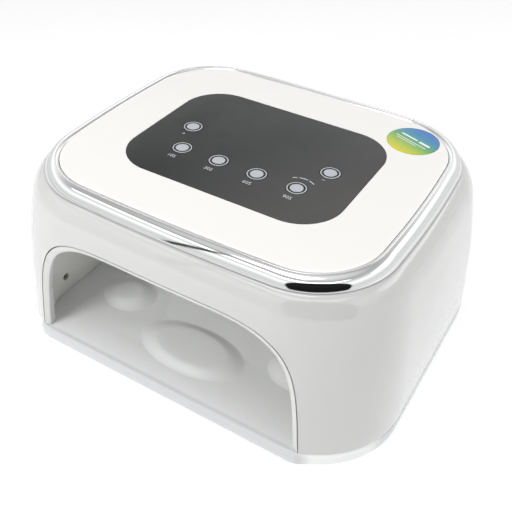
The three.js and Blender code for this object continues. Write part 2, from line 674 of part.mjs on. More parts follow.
// Round DC socket through the rear wall: drawn about Z from its mouth inwards, then turned to face +Y.
function makeInlet() {
  const rearWall = DEPTH / 2 - DEPTH_LEAN * leanAt(INLET.z);
  const body = joined([
    solid(cylinder(INLET.barrelRadius, GAP, INLET.depth / 2)),
    solid(cylinder(INLET.bodyRadius, SHELL_WALL + GAP, INLET.depth)),
  ]);
  const bore = solid(cylinder(INLET.bore, -INLET.depth, INLET.depth - 2.5));
  const pin = solid(cylinder(INLET.pin, 1.5, INLET.depth - 2, 0, 0, SMALL_SIDES));
  const socket = geometryOf(body.subtract(bore).add(pin));
  return socket.rotateX(Math.PI / 2).translate(INLET.x, rearWall, INLET.z);
}

function makeSensor(side) {
  const behind = CHAMBER.halfX + LINER_WALL + GAP;
  const barrel = turned([
    [0, behind], [SENSOR.radius - 0.8, behind], [SENSOR.radius, behind + 1],
    [SENSOR.radius, behind + 7], [0, behind + 7],
  ], 0, 0, 14);
  return barrel.rotateY(side * Math.PI / 2).translate(0, SENSOR.y, SENSOR.z);
}

function makeWire(points) {
  const path = new THREE.CatmullRomCurve3(points.map((p) => new THREE.Vector3(...p)), false, 'centripetal');
  const section = new THREE.Shape().absarc(0, 0, WIRE_RADIUS, 0, Math.PI * 2);
  return new THREE.ExtrudeGeometry(section, { extrudePath: path, steps: 14, curveSegments: 3 });
}

// Wires run up between the chamber and the shell and end just under the control board.
const BOARD_SOLDER = PCB_BOTTOM - 0.8;
const WIRES = {
  wire_power: [[45, 82.5, 26], [45, 84.5, 50], [45, 82, 78], [45, 66, 89], [44, 40, 90.5],
    [44, 30, BOARD_SOLDER]],
  wire_led_back: [[0, 81.5, 38], [0, 84, 58], [0, 80, 82], [0, 56, 89.5], [0, 34, 91],
    [0, 28, BOARD_SOLDER]],
  wire_led_left: [[-97.6, 0, 38], [-100, 0, 58], [-94, 0, 80], [-72, 0, 89], [-46, 0, 91],
    [-38, 0, BOARD_SOLDER]],
  wire_led_right: [[97.6, 0, 38], [100, 0, 58], [94, 0, 80], [72, 0, 89], [46, 0, 91],
    [38, 0, BOARD_SOLDER]],
  wire_led_top: [[12, -20, 85.6], [14, -21, 88], [20, -22, 91], [24, -22, 94], [25, -22, BOARD_SOLDER]],
  wire_sensor_left: [[-103, -66, 20], [-105, -62, 40], [-101, -52, 72], [-80, -38, 89], [-52, -30, 91],
    [-44, -28, BOARD_SOLDER]],
  wire_sensor_right: [[103, -66, 20], [105, -62, 40], [101, -52, 72], [80, -38, 89], [52, -30, 91],
    [44, -28, BOARD_SOLDER]],
};

// ---------------------------------------------------------------- assembly

const lamp = new THREE.Group();
const housing = new THREE.Group();
lamp.add(housing);

function place(group, name, shape, material) {
  const geometry = shape instanceof THREE.BufferGeometry ? shape : geometryOf(shape);
  const mesh = new THREE.Mesh(geometry, material);
  mesh.name = name;
  group.add(mesh);
}

place(lamp, 'base_tray', makeTray(), TRAY_WHITE);
mirrored(FOOT).forEach(([x, y], i) => {
  place(lamp, `foot_${i + 1}`, cylinder(FOOT.radius, 0, FOOT.thick, x, y), RUBBER);
});
mirrored(MAGNET).forEach(([x, y], i) => {
  const top = TRAY_TOP - GAP;
  place(lamp, `tray_magnet_${i + 1}`, cylinder(MAGNET.radius, top - MAGNET.thick, top, x, y), STEEL);
});

place(housing, 'outer_shell', makeShell(), SHELL_WHITE);
place(housing, 'inner_liner', makeLiner(), LINER_WHITE);
place(housing, 'mouth_rim', makeMouthRim(), LINER_WHITE);
place(housing, 'bottom_frame', makeBottomFrame(), LINER_WHITE);
place(housing, 'deck_plate', makeDeck(), BLACK_PLASTIC);
place(housing, 'chrome_ring', makeRing(), CHROME);
place(housing, 'top_fascia', makeFascia(), FASCIA_WHITE);
place(housing, 'smoked_window', makeWindow(), SMOKED);
place(housing, 'round_badge', makeBadge(), BADGE_PRINT);
place(housing, 'control_board', makeControlBoard(), BOARD_GREEN);
place(housing, 'display_module', makeDisplay(), BLACK_PLASTIC);
place(housing, 'power_inlet', makeInlet(), BLACK_PLASTIC);
place(housing, 'hand_sensor_left', makeSensor(-1), BLACK_PLASTIC);
place(housing, 'hand_sensor_right', makeSensor(1), BLACK_PLASTIC);

KEYS.forEach((key) => {
  place(housing, key.name, makeKey(key), KEY_GREY);
  place(housing, key.name.replace('key', 'switch'), makeSwitch(key), BLACK_PLASTIC);
});
Object.keys(LED_PLACES).forEach((face) => {
  place(housing, `led_board_${face}`, makeLightBoard(face), BOARD_WHITE);
});
mirrored(MAGNET).forEach(([x, y], i) => {
  const bottom = SHELL_BOTTOM + GAP;
  const disc = cylinder(MAGNET.radius, bottom, bottom + STRIKE_THICK, x, y);
  place(housing, `strike_plate_${i + 1}`, disc, STEEL);
});
bosses.forEach(([x, y], i) => {
  place(housing, `liner_screw_${i + 1}`, makeScrew(x, y, SHELL_BOTTOM + 0.1, false, 12), STEEL);
});
mirrored(PCB_SCREW).forEach(([x, y], i) => {
  place(housing, `board_screw_${i + 1}`, makeScrew(x, y, PCB_TOP + GAP + 1, true, 8), STEEL);
});
Object.entries(WIRES).forEach(([name, points]) => {
  place(housing, name, makeWire(points), WIRE_RED);
});

export default lamp;
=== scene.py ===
"""Looks of the nail lamp: smooth pieces, finishes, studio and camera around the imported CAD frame."""

from math import atan2, copysign, cos, dist, pi, radians, sin, sqrt, tan
from typing import NamedTuple

import bmesh
import bpy
from mathutils import Matrix, Vector


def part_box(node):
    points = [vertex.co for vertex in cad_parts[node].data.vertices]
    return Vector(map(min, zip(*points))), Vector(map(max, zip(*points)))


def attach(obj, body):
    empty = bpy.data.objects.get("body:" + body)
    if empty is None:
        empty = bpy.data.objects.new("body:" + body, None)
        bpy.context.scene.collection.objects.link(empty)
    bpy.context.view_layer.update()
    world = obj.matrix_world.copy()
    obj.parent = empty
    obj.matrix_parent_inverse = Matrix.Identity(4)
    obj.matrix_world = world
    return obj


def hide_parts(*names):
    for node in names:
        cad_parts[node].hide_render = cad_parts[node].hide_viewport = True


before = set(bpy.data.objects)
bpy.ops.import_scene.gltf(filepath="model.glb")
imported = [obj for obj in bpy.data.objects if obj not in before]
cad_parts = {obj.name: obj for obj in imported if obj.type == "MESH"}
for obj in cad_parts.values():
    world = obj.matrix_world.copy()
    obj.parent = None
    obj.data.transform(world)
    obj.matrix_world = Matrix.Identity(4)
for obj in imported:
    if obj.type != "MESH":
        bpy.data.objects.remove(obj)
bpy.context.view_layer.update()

# Lengths below are in millimetres; meshes are written in metres.
MM = 0.001


def box_mm(node):
    """Lowest and highest corner of a CAD node, in millimetres."""
    low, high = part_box(node)
    return low / MM, high / MM


def centre_mm(node):
    low, high = box_mm(node)
    return (low + high) / 2


def plan(node):
    """The point on the ground under a CAD node's middle."""
    middle = centre_mm(node)
    return Vector((middle.x, middle.y, 0))


def plans(prefix):
    """Such points of all CAD nodes that share a prefix, in order of name."""
    return [plan(name) for name in sorted(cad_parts) if name.startswith(prefix)]


# -------- shape of the lamp

GAP = 0.3
TRAY = box_mm("base_tray")
SHELL = box_mm("outer_shell")
TRIM = box_mm("chrome_ring")
FASCIA = box_mm("top_fascia")
PANEL = box_mm("smoked_window")
BADGE = box_mm("round_badge")
LAMP_TOP = TRIM[1].z

# Front corners: the flat front runs out to a soft crease before the round corner starts.
CREASE_X = 83.0
CREASE_SHARE = 0.3
CREASE_END = 85.0
CREASE_FADE = 0.6
CREASE_SOFT = 3.0

# Outer wall: it leans in with height and rolls over at the shoulder.
BASE_HALF_X = TRAY[1].x
BASE_HALF_Y = TRAY[1].y
BASE_CORNER = 48.0
LEAN = 12.8
LEAN_POWER = 2.2
DEPTH_LEAN = 0.61
CORNER_GROWTH = 5.0
CORNER_GROWTH_END = 32.0
SHOULDER_START = 86.0
SHOULDER_FULLNESS = 0.93
SHELL_BOTTOM = SHELL[0].z
SHELL_WALL = 2.5
DECK_TOP = 97.5

# Trim ring: its face is the part of a round between two angles.
RING_BOW = 1.2
RING_CORNER = 45.5
RING_SEAM_Z = SHELL[1].z + GAP
RING_WIDTH = 8.0
RING_CREST = 6.2
RING_LEDGE = 1.2
RING_ARC = (25, 88)

# Fascia, its sticker and the key panel in it.
FASCIA_ROUND = 1.5
FASCIA_THICK = 3.2
SEAT_EDGE = 3.0
PANEL_CORNER = 23.5
PANEL_ROUND = 0.25
BADGE_RADIUS = (BADGE[1].x - BADGE[0].x) / 2

# Keys: a flange under the panel and a cap in its hole, with a printed ring and disc.
KEY_PLACES = {key: plan(f"key_{key}") for key in ("10s", "30s", "60s", "90s", "left", "right")}
KEY_BOTTOM, KEY_TOP = (corner.z for corner in box_mm("key_10s"))
KEY_RADIUS = 5.4
KEY_HOLE = 5.7
KEY_FLANGE = 6.6
KEY_FLANGE_THICK = 0.7
HALO_OUTER = 5.3
HALO_INNER = 4.65
DISC_RADIUS = 3.5

# Print on the panel, measured from the middle of a key: labels, signs and an arc of three dashes.
INK = 0.05
SUNK = 0.03
LABEL_SIZE = 3.5
LABEL_SHIFT = -0.2
LABEL_DROP = 9.7
PLUS_DROP = 9.2
MINUS_DROP = 8.0
SIGN_HALF = 0.9
SIGN_HALF_THICK = 0.16
DASH_RADIUS = 9.5
DASH_HALF_THICK = 0.3
DASH_ANGLES = ((131, 116), (110, 81), (75, 52))

# Print on the sticker: bars as place along and across the lines, half length and half thickness.
BADGE_INK = 0.03
BADGE_TILT = -20
BADGE_LINES = [(-4.2, 1.9, 5.6, 0.62), (6.6, 1.7, 3.9, 0.85)]
BADGE_LINES += [(-0.4, -1.5, 10.6, 0.26), (-2.4, -3.2, 6.8, 0.24)]
GRADIENT_TURN = -68
GRADIENT_REACH = 14.4

# Hand chamber, its liner and the mouth.
CHAMBER_HALF_X = 92.0
CHAMBER_FRONT = -91.0
CHAMBER_REAR = 76.0
CHAMBER_STRAIGHT = 52.0
CHAMBER_CEILING = 80.0
CHAMBER_ROLL = 24.0
CHAMBER_CORNER_REAR = 36.0
CHAMBER_CORNER_FRONT = 20.0
LINER_WALL = 2.0
LINER_LIP = 2.4
LINER_LIP_THICK = 1.5
FRAME_TOP = 11.5
MOUTH_HALF = 84.8
MOUTH_TOP = 80.9
MOUTH_POWER = 5.28
MOUTH_TAPER = 0.1
RIM_WIDTH = 3.9
RIM_DEPTH = 1.62
RIM_BACK = -90.0
THROAT_OUTER = RIM_WIDTH - 2.0
THROAT_INNER = RIM_WIDTH - 0.8
THROAT_END = -62.0

# A depth and a height clear of the lamp, for tools that cut right through.
BEFORE = -120.0
BELOW = -1.0

# Base tray: finger rests as x, y, half sizes and the share that slopes; ribs and posts underneath.
TRAY_TOP = 8.8
TRAY_ROUND = 2.4
TRAY_ROUND_WIDTH = 2.2
TRAY_SKIRT = 4.0
TRAY_CAVITY = 6.0
MOUNDS = ((0.0, -66.0, 34.0, 18.0, 0.38), (-58.0, -48.0, 17.0, 15.0, 0.60), (58.0, -48.0, 17.0, 15.0, 0.60))
MOUND_RISE = 2.6
MOUND_CRISPNESS = 0.3
RIB_X = 32
RIB_Y = 30
RIB_HALF = 1
RIB_BOTTOM = 2.5
STUD_TOP = 6.6
FOOT_POST = 8.0
FOOT_POCKET = 6.3
FOOT_POCKET_TOP = 2.5
MAGNET_POST = 6.0
MAGNET_POST_BOTTOM = 3.8
MAGNET_POCKET = 4.3

# Screws as radius and height pairs of the head, then the thread; their wells in the bottom frame.
SCREW_HEAD = [(0.8, 0.0), (2.2, 0.12), (2.62, 0.4), (2.7, 0.75), (2.6, 1.0), (1.2, 1.05)]
SCREW_CORE = 1.0
SCREW_CREST = 1.25
SCREW_PITCH = 0.8
SLOT_HALF = 1.5
SLOT_HALF_WIDTH = 0.28
WELL_RADIUS = 3.1
WELL_DEPTH = 1.4
SCREW_HOLE = 1.5
POST_SPACE = 3.8

# Power inlet and sensor, mostly as radii.
INLET = box_mm("power_inlet")
INLET_PLACE = ((INLET[0].x + INLET[1].x) / 2, INLET[1].y, (INLET[0].z + INLET[1].z) / 2)
INLET_HOLE = 2.8
INLET_NECK = 4.0
INLET_BODY = 5.5
INLET_REAR = 2.0
SENSOR_HOLE = 2.3


class Outline(NamedTuple):
    """Rounded rectangle with its own rear and front corners.

    Bow swells each side at its middle, and crease draws the front corners out towards CREASE_X.
    """

    half_x: float
    half_y: float
    rear: float
    front: float
    bow: float = 0.0
    centre_y: float = 0.0
    crease: float = 0.0

    def inset(self, by, corners=1.0):
        """The outline drawn in; its corner radii shrink by a share of that."""
        return self._replace(
            half_x=self.half_x - by,
            half_y=self.half_y - by,
            rear=self.rear - corners * by,
            front=self.front - corners * by,
        )


BASE = Outline(BASE_HALF_X, BASE_HALF_Y, BASE_CORNER, BASE_CORNER, crease=1.0)
RING = Outline(TRIM[1].x - RING_BOW, TRIM[1].y - RING_BOW, RING_CORNER, RING_CORNER, RING_BOW)
WINDOW = Outline(
    PANEL[1].x,
    (PANEL[1].y - PANEL[0].y) / 2,
    PANEL_CORNER,
    PANEL_CORNER,
    centre_y=centre_mm("smoked_window").y,
)


def lean_at(z):
    return LEAN * max(0.0, z / LAMP_TOP) ** LEAN_POWER


def clamp01(value):
    return min(1.0, max(0.0, value))


def shoulder_share(z):
    """Share of the shoulder's roll reached at a height: 0 where it starts, 1 at the ring's seam."""
    rise = clamp01((z - SHOULDER_START) / (RING_SEAM_Z - SHOULDER_START))
    return (1 - sqrt(1 - SHOULDER_FULLNESS * rise * rise)) / (1 - sqrt(1 - SHOULDER_FULLNESS))


def wall_at(z):
    """The shell's outer outline at a height."""
    lean = lean_at(z)
    share = shoulder_share(z)
    seam_lean = lean_at(RING_SEAM_Z)
    grown = BASE_CORNER + CORNER_GROWTH * min(1.0, z / CORNER_GROWTH_END)
    radius = grown + share * (RING_CORNER - grown)
    return Outline(
        BASE_HALF_X - lean - share * (BASE_HALF_X - seam_lean - RING.half_x),
        BASE_HALF_Y - DEPTH_LEAN * lean - share * (BASE_HALF_Y - DEPTH_LEAN * seam_lean - RING.half_y),
        radius,
        radius,
        RING_BOW * clamp01((z - SHELL_BOTTOM) / (RING_SEAM_Z - SHELL_BOTTOM)),
        crease=CREASE_SHARE * max(0.0, 1 - z / CREASE_END) ** CREASE_FADE,
    )


def crease_depth(past, radius, reach):
    """How far a fully creased corner stands in front of its round one, past being the way along X."""
    turn = 2 * atan2(reach, radius)
    if past <= 0 or past >= radius * sin(turn):
        return 0.0
    on_arc = radius - sqrt(radius**2 - past**2)
    bend = clamp01((past - reach + CREASE_SOFT) / (2 * CREASE_SOFT))
    on_lines = tan(turn) * (CREASE_SOFT * bend**2 + max(0.0, past - reach - CREASE_SOFT))
    return on_arc - on_lines


def front_face_y(x, z):
    """The shell's front surface at a place seen from the front."""
    wall = wall_at(z)
    straight = wall.half_x - wall.front
    if abs(x) <= straight:
        t = (x + straight) / (2 * straight)
        return -(wall.half_y + 4 * wall.bow * t * (1 - t))
    across = min(abs(x) - straight, wall.front)
    drawn_out = wall.crease * crease_depth(across, wall.front, CREASE_X - straight)
    return -(wall.half_y - wall.front + sqrt(wall.front**2 - across**2) + drawn_out)


def spread(start, end, count):
    return [start + (end - start) * i / (count - 1) for i in range(count)]


def ring(shape, z, arc=28, side=14):
    """Points of an outline at a height, turning left seen from above."""
    corners = ((1, 1, shape.rear), (-1, 1, shape.rear), (-1, -1, shape.front), (1, -1, shape.front))

    def arc_point(corner, angle):
        side_x, side_y, radius = corners[corner % 4]
        straight = shape.half_x - radius
        x = side_x * straight + radius * cos(angle)
        y = side_y * (shape.half_y - radius) + radius * sin(angle) + shape.centre_y
        if shape.crease and side_y < 0:
            y -= shape.crease * crease_depth(abs(x) - straight, radius, CREASE_X - straight)
        return Vector((x, y, z))

    points = []
    for corner in range(4):
        points += [arc_point(corner, (corner + i / arc) * pi / 2) for i in range(arc + 1)]
        outward = (corner + 1) * pi / 2
        start = arc_point(corner, outward)
        end = arc_point(corner + 1, outward)
        for i in range(1, side):
            t = i / side
            push = Vector((cos(outward), sin(outward), 0)) * 4 * shape.bow * t * (1 - t)
            points.append(start.lerp(end, t) + push)
    return points


def stack(shape, section, arc=28, side=14):
    """Rings of an outline for pairs of how far it is drawn in and its height."""
    return [ring(shape.inset(drawn_in), z, arc, side) for drawn_in, z in section]


def rounding(width, low, high, steps):
    """Such pairs up a quarter round, without its start."""
    angles = spread(0.0, pi / 2, steps)[1:]
    return [(width * (1 - cos(a)), low + (high - low) * sin(a)) for a in angles]


def arch(drawn_in, count=97):
    """The hand opening's arch from its left foot over the top to its right foot, as x and z pairs."""
    half = MOUTH_HALF - drawn_in
    top = MOUTH_TOP - drawn_in
    fine = []
    for i in range(4 * count + 1):
        angle = pi * (1 - i / (4 * count))
        reach = copysign(abs(cos(angle)) ** (2 / MOUTH_POWER), cos(angle))
        rise = max(0.0, sin(angle)) ** (2 / MOUTH_POWER)
        fine.append((half * reach * (1 - MOUTH_TAPER * rise), top * rise))
    return evenly(fine, count)


def evenly(points, count):
    """The same open line with its points an equal way apart."""
    lengths = [0.0]
    for a, b in zip(points, points[1:]):
        lengths.append(lengths[-1] + dist(a, b))
    result = []
    level = 0
    for target in spread(0.0, lengths[-1], count):
        while level < len(points) - 2 and lengths[level + 1] < target:
            level += 1
        share = (target - lengths[level]) / max(1e-9, lengths[level + 1] - lengths[level])
        result.append(tuple(a + (b - a) * share for a, b in zip(points[level], points[level + 1])))
    return result


# -------- mesh helpers


def put_in_scene(name, data):
    obj = bpy.data.objects.new(name, data)
    bpy.context.scene.collection.objects.link(obj)
    return obj


def mesh_object(name, points, faces):
    mesh = bpy.data.meshes.new(name)
    mesh.from_pydata([tuple(c * MM for c in p) for p in points], [], faces)
    mesh.validate()
    return put_in_scene(name, mesh)


def skin(name, rings, loop=False):
    """Quads over rings of points; a loop joins the last ring to the first, else both ends are closed."""
    count = len(rings[0])
    levels = len(rings)
    faces = []
    for level in range(levels if loop else levels - 1):
        a = level * count
        b = (level + 1) % levels * count
        faces += [(a + i, a + (i + 1) % count, b + (i + 1) % count, b + i) for i in range(count)]
    if not loop:
        faces.append(tuple(reversed(range(count))))
        faces.append(tuple(range((levels - 1) * count, levels * count)))
    return mesh_object(name, [p for r in rings for p in r], faces)


def oval(half_x, half_y, z, sides):
    angles = [2 * pi * i / sides for i in range(sides)]
    return [Vector((half_x * cos(a), half_y * sin(a), z)) for a in angles]


def turned(name, profile, sides=48, place=(0, 0, 0), turn=None, loop=False):
    """A piece turned about Z: radius and height pairs from bottom to top, or round the section of a tube."""
    turn = turn or Matrix.Identity(3)
    rings = [[turn @ p + Vector(place) for p in oval(radius, radius, z, sides)] for radius, z in profile]
    return skin(name, rings, loop)


def rod(name, radius, bottom, top, place, turn=None, sides=28):
    return turned(name, [(radius, bottom), (radius, top)], sides, place, turn)


def block(name, low, high):
    (x0, y0, z0), (x1, y1, z1) = low, high
    corners = ((x0, y0), (x1, y0), (x1, y1), (x0, y1))
    return skin(name, [[Vector((x, y, z)) for x, y in corners] for z in (z0, z1)])


def join(name, pieces):
    """One object from several, each kept as a closed part of it."""
    merged = bmesh.new()
    for piece in pieces:
        merged.from_mesh(piece.data)
        bpy.data.objects.remove(piece)
    mesh = bpy.data.meshes.new(name)
    merged.to_mesh(mesh)
    merged.free()
    return put_in_scene(name, mesh)


def settle(obj):
    """Make the object's modifiers real."""
    graph = bpy.context.evaluated_depsgraph_get()
    mesh = bpy.data.meshes.new_from_object(obj.evaluated_get(graph))
    obj.modifiers.clear()
    obj.data = mesh


def combine(obj, tool, operation):
    modifier = obj.modifiers.new(operation.lower(), "BOOLEAN")
    modifier.operation = operation
    modifier.solver = "MANIFOLD"
    modifier.object = tool
    settle(obj)
    bpy.data.objects.remove(tool)
    return obj


def carve(obj, tools):
    for tool in tools:
        combine(obj, tool, "DIFFERENCE")


def smooth(obj, angle=34):
    """Smooth faces with a crisp line only where two of them meet at more than the angle."""
    work = bmesh.new()
    work.from_mesh(obj.data)
    for face in work.faces:
        face.smooth = True
    for edge in work.edges:
        edge.smooth = len(edge.link_faces) == 2 and edge.calc_face_angle(0.0) < radians(angle)
    work.to_mesh(obj.data)
    work.free()
    return obj


def present(obj, material, replaced=(), body="housing"):
    """A finished piece: its material, the CAD body it rides on and the nodes it stands for."""
    obj.data.materials.clear()
    obj.data.materials.append(material)
    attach(obj, body)
    if replaced:
        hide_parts(*replaced)


# -------- materials


class Nodes:
    """A small helper that grows a node tree."""

    def __init__(self, tree):
        self.tree = tree

    def link(self, source, target):
        self.tree.links.new(source, target)

    def add(self, kind, *sources, **settings):
        """A new node whose first inputs are linked to the sources."""
        node = self.tree.nodes.new(kind)
        for key, value in settings.items():
            setattr(node, key, value)
        for source, target in zip(sources, node.inputs):
            self.link(source, target)
        return node

    def calculate(self, operation, first, second):
        return self.add("ShaderNodeMath", first, second, operation=operation).outputs["Value"]

    def vector(self, operation, source, constant=None):
        node = self.add("ShaderNodeVectorMath", source, operation=operation)
        if constant is not None:
            node.inputs[1].default_value = constant
        return node.outputs["Value" if operation in ("DOT_PRODUCT", "LENGTH") else "Vector"]

    def split(self, source):
        return self.add("ShaderNodeSeparateXYZ", source).outputs

    def remap(self, factor, start, end, low=0.0, high=1.0):
        node = self.add("ShaderNodeMapRange", factor)
        for socket, value in (("From Min", start), ("From Max", end), ("To Min", low), ("To Max", high)):
            node.inputs[socket].default_value = value
        return node.outputs["Result"]

    def ramp(self, factor, stops):
        node = self.add("ShaderNodeValToRGB", factor)
        elements = node.color_ramp.elements
        while len(elements) < len(stops):
            elements.new(0.5)
        for element, (position, colour) in zip(elements, stops):
            element.position = position
            element.color = (*colour, 1)
        return node.outputs["Color"]


class Recipe(Nodes):
    """One surface material that grows from its colour and roughness."""

    def __init__(self, name, colour, roughness, **sockets):
        self.material = bpy.data.materials.new(name)
        self.material.use_nodes = True
        self.material.diffuse_color = (*colour, 1)
        super().__init__(self.material.node_tree)
        self.shader = self.tree.nodes["Principled BSDF"]
        self.shader.inputs["Base Color"].default_value = (*colour, 1)
        self.shader.inputs["Roughness"].default_value = roughness
        for socket, value in sockets.items():
            self.shader.inputs[socket.replace("_", " ")].default_value = value
        self.place = self.add("ShaderNodeTexCoord").outputs["Object"]

    def noise(self, scale, detail=2.0, roughness=0.5):
        node = self.add("ShaderNodeTexNoise", self.place)
        node.inputs["Scale"].default_value = scale
        node.inputs["Detail"].default_value = detail
        node.inputs["Roughness"].default_value = roughness
        return node.outputs["Fac"]

    def tint(self, factor, stops):
        self.link(self.ramp(factor, stops), self.shader.inputs["Base Color"])

    def gloss(self, factor, low, high):
        self.link(self.remap(factor, 0.3, 0.7, low, high), self.shader.inputs["Roughness"])

    def relief(self, factor, depth, strength=1.0):
        node = self.add("ShaderNodeBump")
        node.inputs["Distance"].default_value = depth * MM
        node.inputs["Strength"].default_value = strength
        self.link(factor, node.inputs["Height"])
        self.link(node.outputs["Normal"], self.shader.inputs["Normal"])


def shade(colour, factor):
    return tuple(c * factor for c in colour)


def moulded(name, colour, roughness, wobble=0.02, grain=900.0, depth=0.004, **sockets):
    """Moulded plastic: faint colour drift, uneven gloss and a very fine skin texture."""
    recipe = Recipe(name, colour, roughness, **sockets)
    drift = recipe.noise(22.0, 3.0)
    recipe.tint(drift, [(0.3, shade(colour, 1 - wobble)), (0.7, shade(colour, 1 + wobble * 0.4))])
    recipe.gloss(recipe.noise(60.0, 4.0, 0.6), roughness * 0.85, roughness * 1.2)
    recipe.relief(recipe.noise(grain), depth)
    return recipe.material


def metal(name, colour, roughness, streak=0.0, **sockets):
    """Plated or plain metal with faint polishing marks."""
    recipe = Recipe(name, colour, roughness, Metallic=1.0, **sockets)
    recipe.tint(recipe.noise(35.0, 3.0), [(0.3, shade(colour, 0.97)), (0.7, colour)])
    recipe.gloss(recipe.noise(240.0, 5.0, 0.7), roughness * 0.8, roughness * 1.35)
    recipe.relief(recipe.noise(1500.0), 0.002 + streak)
    return recipe.material


SHELL_WHITE = moulded(
    "shell_white_gloss", (0.53, 0.53, 0.526), 0.12, 0.012, 500.0, 0.003, Coat_Weight=0.6, Coat_Roughness=0.05
)
LINER_WHITE = moulded("liner_white_satin", (0.92, 0.92, 0.895), 0.36, 0.015, 700.0, 0.004)
RIM_WHITE = moulded("rim_white_satin", (0.62, 0.62, 0.61), 0.32, 0.012, 700.0, 0.004)
FASCIA_WHITE = moulded("fascia_white_satin", (0.89, 0.873, 0.852), 0.34, 0.01, 1400.0, 0.003)
CHROME = metal("trim_chrome", (0.69, 0.695, 0.70), 0.05)
STEEL = metal("steel_plain", (0.52, 0.53, 0.54), 0.3, 0.004)
RUBBER = moulded("rubber_grey", (0.30, 0.30, 0.31), 0.75, 0.08, 400.0, 0.02)
BLACK_PLASTIC = moulded(
    "black_plastic", (0.008, 0.008, 0.009), 0.42, 0.2, 900.0, 0.01, Specular_IOR_Level=0.3
)
KEY_SMOKED = moulded(
    "key_smoked", (0.016, 0.017, 0.018), 0.3, 0.05, 1200.0, 0.003, Specular_IOR_Level=0.2
)
KEY_PRINT = moulded("key_print_grey", (0.48, 0.50, 0.525), 0.45, 0.04, 1600.0, 0.004)
LABEL_PRINT = moulded("label_print_grey", (0.55, 0.57, 0.58), 0.5, 0.05, 1600.0, 0.002)
BADGE_WHITE = moulded("badge_white_ink", (0.86, 0.88, 0.86), 0.35, 0.02, 1500.0, 0.002)


def tray_white_painted_shade():
    """Gloss white moulding with painted shade: a brighter floor inside a slightly greyer rim, whose grey is
    painted shade.
    """
    recipe = Recipe("tray_white_gloss_painted_shade", (0.76, 0.77, 0.77), 0.22)
    scaled = recipe.vector("DIVIDE", recipe.place, (BASE_HALF_X * MM, BASE_HALF_Y * MM, 1.0))
    outward = recipe.split(recipe.vector("ABSOLUTE", scaled))
    # Painted shade: the tray's outer rim is tinted greyer than its floor.
    rim = recipe.remap(recipe.calculate("MAXIMUM", outward["X"], outward["Y"]), 0.955, 0.985)
    recipe.tint(rim, [(0.0, (0.80, 0.81, 0.81)), (1.0, (0.57, 0.58, 0.59))])
    recipe.gloss(recipe.noise(600.0, 3.0), 0.2, 0.24)
    recipe.relief(recipe.noise(600.0), 0.003)
    return recipe.material


def smoked_panel():
    """Dark tinted panel with a fine satin grain, with a painted sheen that makes it lighter towards its
    right front end.
    """
    recipe = Recipe("panel_smoked_painted_sheen", (0.045, 0.047, 0.047), 0.32, Specular_IOR_Level=0.15)
    # Painted sheen: the colour grows lighter towards the panel's right front end.
    along = recipe.remap(recipe.vector("DOT_PRODUCT", recipe.place, (0.8, -0.6, 0.0)), -0.06, 0.06)
    stops = [(0.0, (0.012, 0.014, 0.014)), (0.5, (0.030, 0.032, 0.032)), (1.0, (0.082, 0.082, 0.080))]
    recipe.tint(along, stops)
    recipe.gloss(recipe.noise(90.0, 4.0, 0.6), 0.28, 0.36)
    recipe.relief(recipe.noise(2600.0), 0.002)
    return recipe.material


def badge_gradient():
    """Sticker print from yellow at the front left through green to blue at the rear right."""
    recipe = Recipe("badge_gradient", (0.25, 0.5, 0.35), 0.4, Specular_IOR_Level=0.3)
    centred = recipe.vector("SUBTRACT", recipe.place, plan("round_badge") * MM)
    turn = recipe.add("ShaderNodeVectorRotate", centred, rotation_type="Z_AXIS")
    turn.inputs["Angle"].default_value = radians(GRADIENT_TURN)
    reach = GRADIENT_REACH * MM
    along = recipe.remap(recipe.split(turn.outputs["Vector"])["X"], -reach, reach)
    stops = [
        (0.0, (0.70, 0.62, 0.06)),
        (0.2, (0.46, 0.56, 0.09)),
        (0.45, (0.16, 0.40, 0.13)),
        (0.68, (0.07, 0.28, 0.40)),
        (1.0, (0.05, 0.16, 0.55)),
    ]
    recipe.tint(along, stops)
    recipe.relief(recipe.noise(1800.0), 0.002)
    return recipe.material


def board_finish(name, colour, mask):
    """Circuit board: coated laminate with faint square track relief."""
    recipe = Recipe(name, colour, 0.45)
    pattern = recipe.add("ShaderNodeTexBrick", recipe.place)
    pattern.inputs["Scale"].default_value = 160.0
    pattern.inputs["Color1"].default_value = (*colour, 1)
    pattern.inputs["Color2"].default_value = (*shade(colour, 1.25), 1)
    pattern.inputs["Mortar"].default_value = (*mask, 1)
    recipe.link(pattern.outputs["Color"], recipe.shader.inputs["Base Color"])
    recipe.relief(pattern.outputs["Fac"], 0.03, 0.6)
    return recipe.material


def lens_clear():
    recipe = Recipe("led_lens_clear", (0.93, 0.90, 0.74), 0.08, Coat_Weight=1.0, Coat_Roughness=0.03)
    recipe.shader.inputs["Subsurface Weight"].default_value = 0.25
    recipe.shader.inputs["Subsurface Radius"].default_value = (0.002, 0.002, 0.001)
    recipe.tint(recipe.noise(300.0), [(0.35, (0.92, 0.86, 0.55)), (0.65, (0.95, 0.93, 0.84))])
    recipe.relief(recipe.noise(700.0), 0.004)
    return recipe.material


def cable_jacket():
    recipe = Recipe("wire_jacket_red", (0.42, 0.035, 0.028), 0.4)
    recipe.tint(recipe.noise(260.0, 3.0), [(0.3, (0.34, 0.028, 0.022)), (0.7, (0.46, 0.04, 0.03))])
    recipe.relief(recipe.noise(900.0), 0.02)
    return recipe.material


TRAY_WHITE_PAINTED_SHADE = tray_white_painted_shade()
PANEL_SMOKED_PAINTED_SHEEN = smoked_panel()
BADGE_GRADIENT = badge_gradient()
BOARD_GREEN = board_finish("board_green", (0.03, 0.16, 0.06), (0.02, 0.10, 0.04))
BOARD_WHITE = board_finish("board_white", (0.74, 0.74, 0.71), (0.60, 0.60, 0.58))
LED_LENS = lens_clear()
WIRE_RED = cable_jacket()


# -------- housing shell


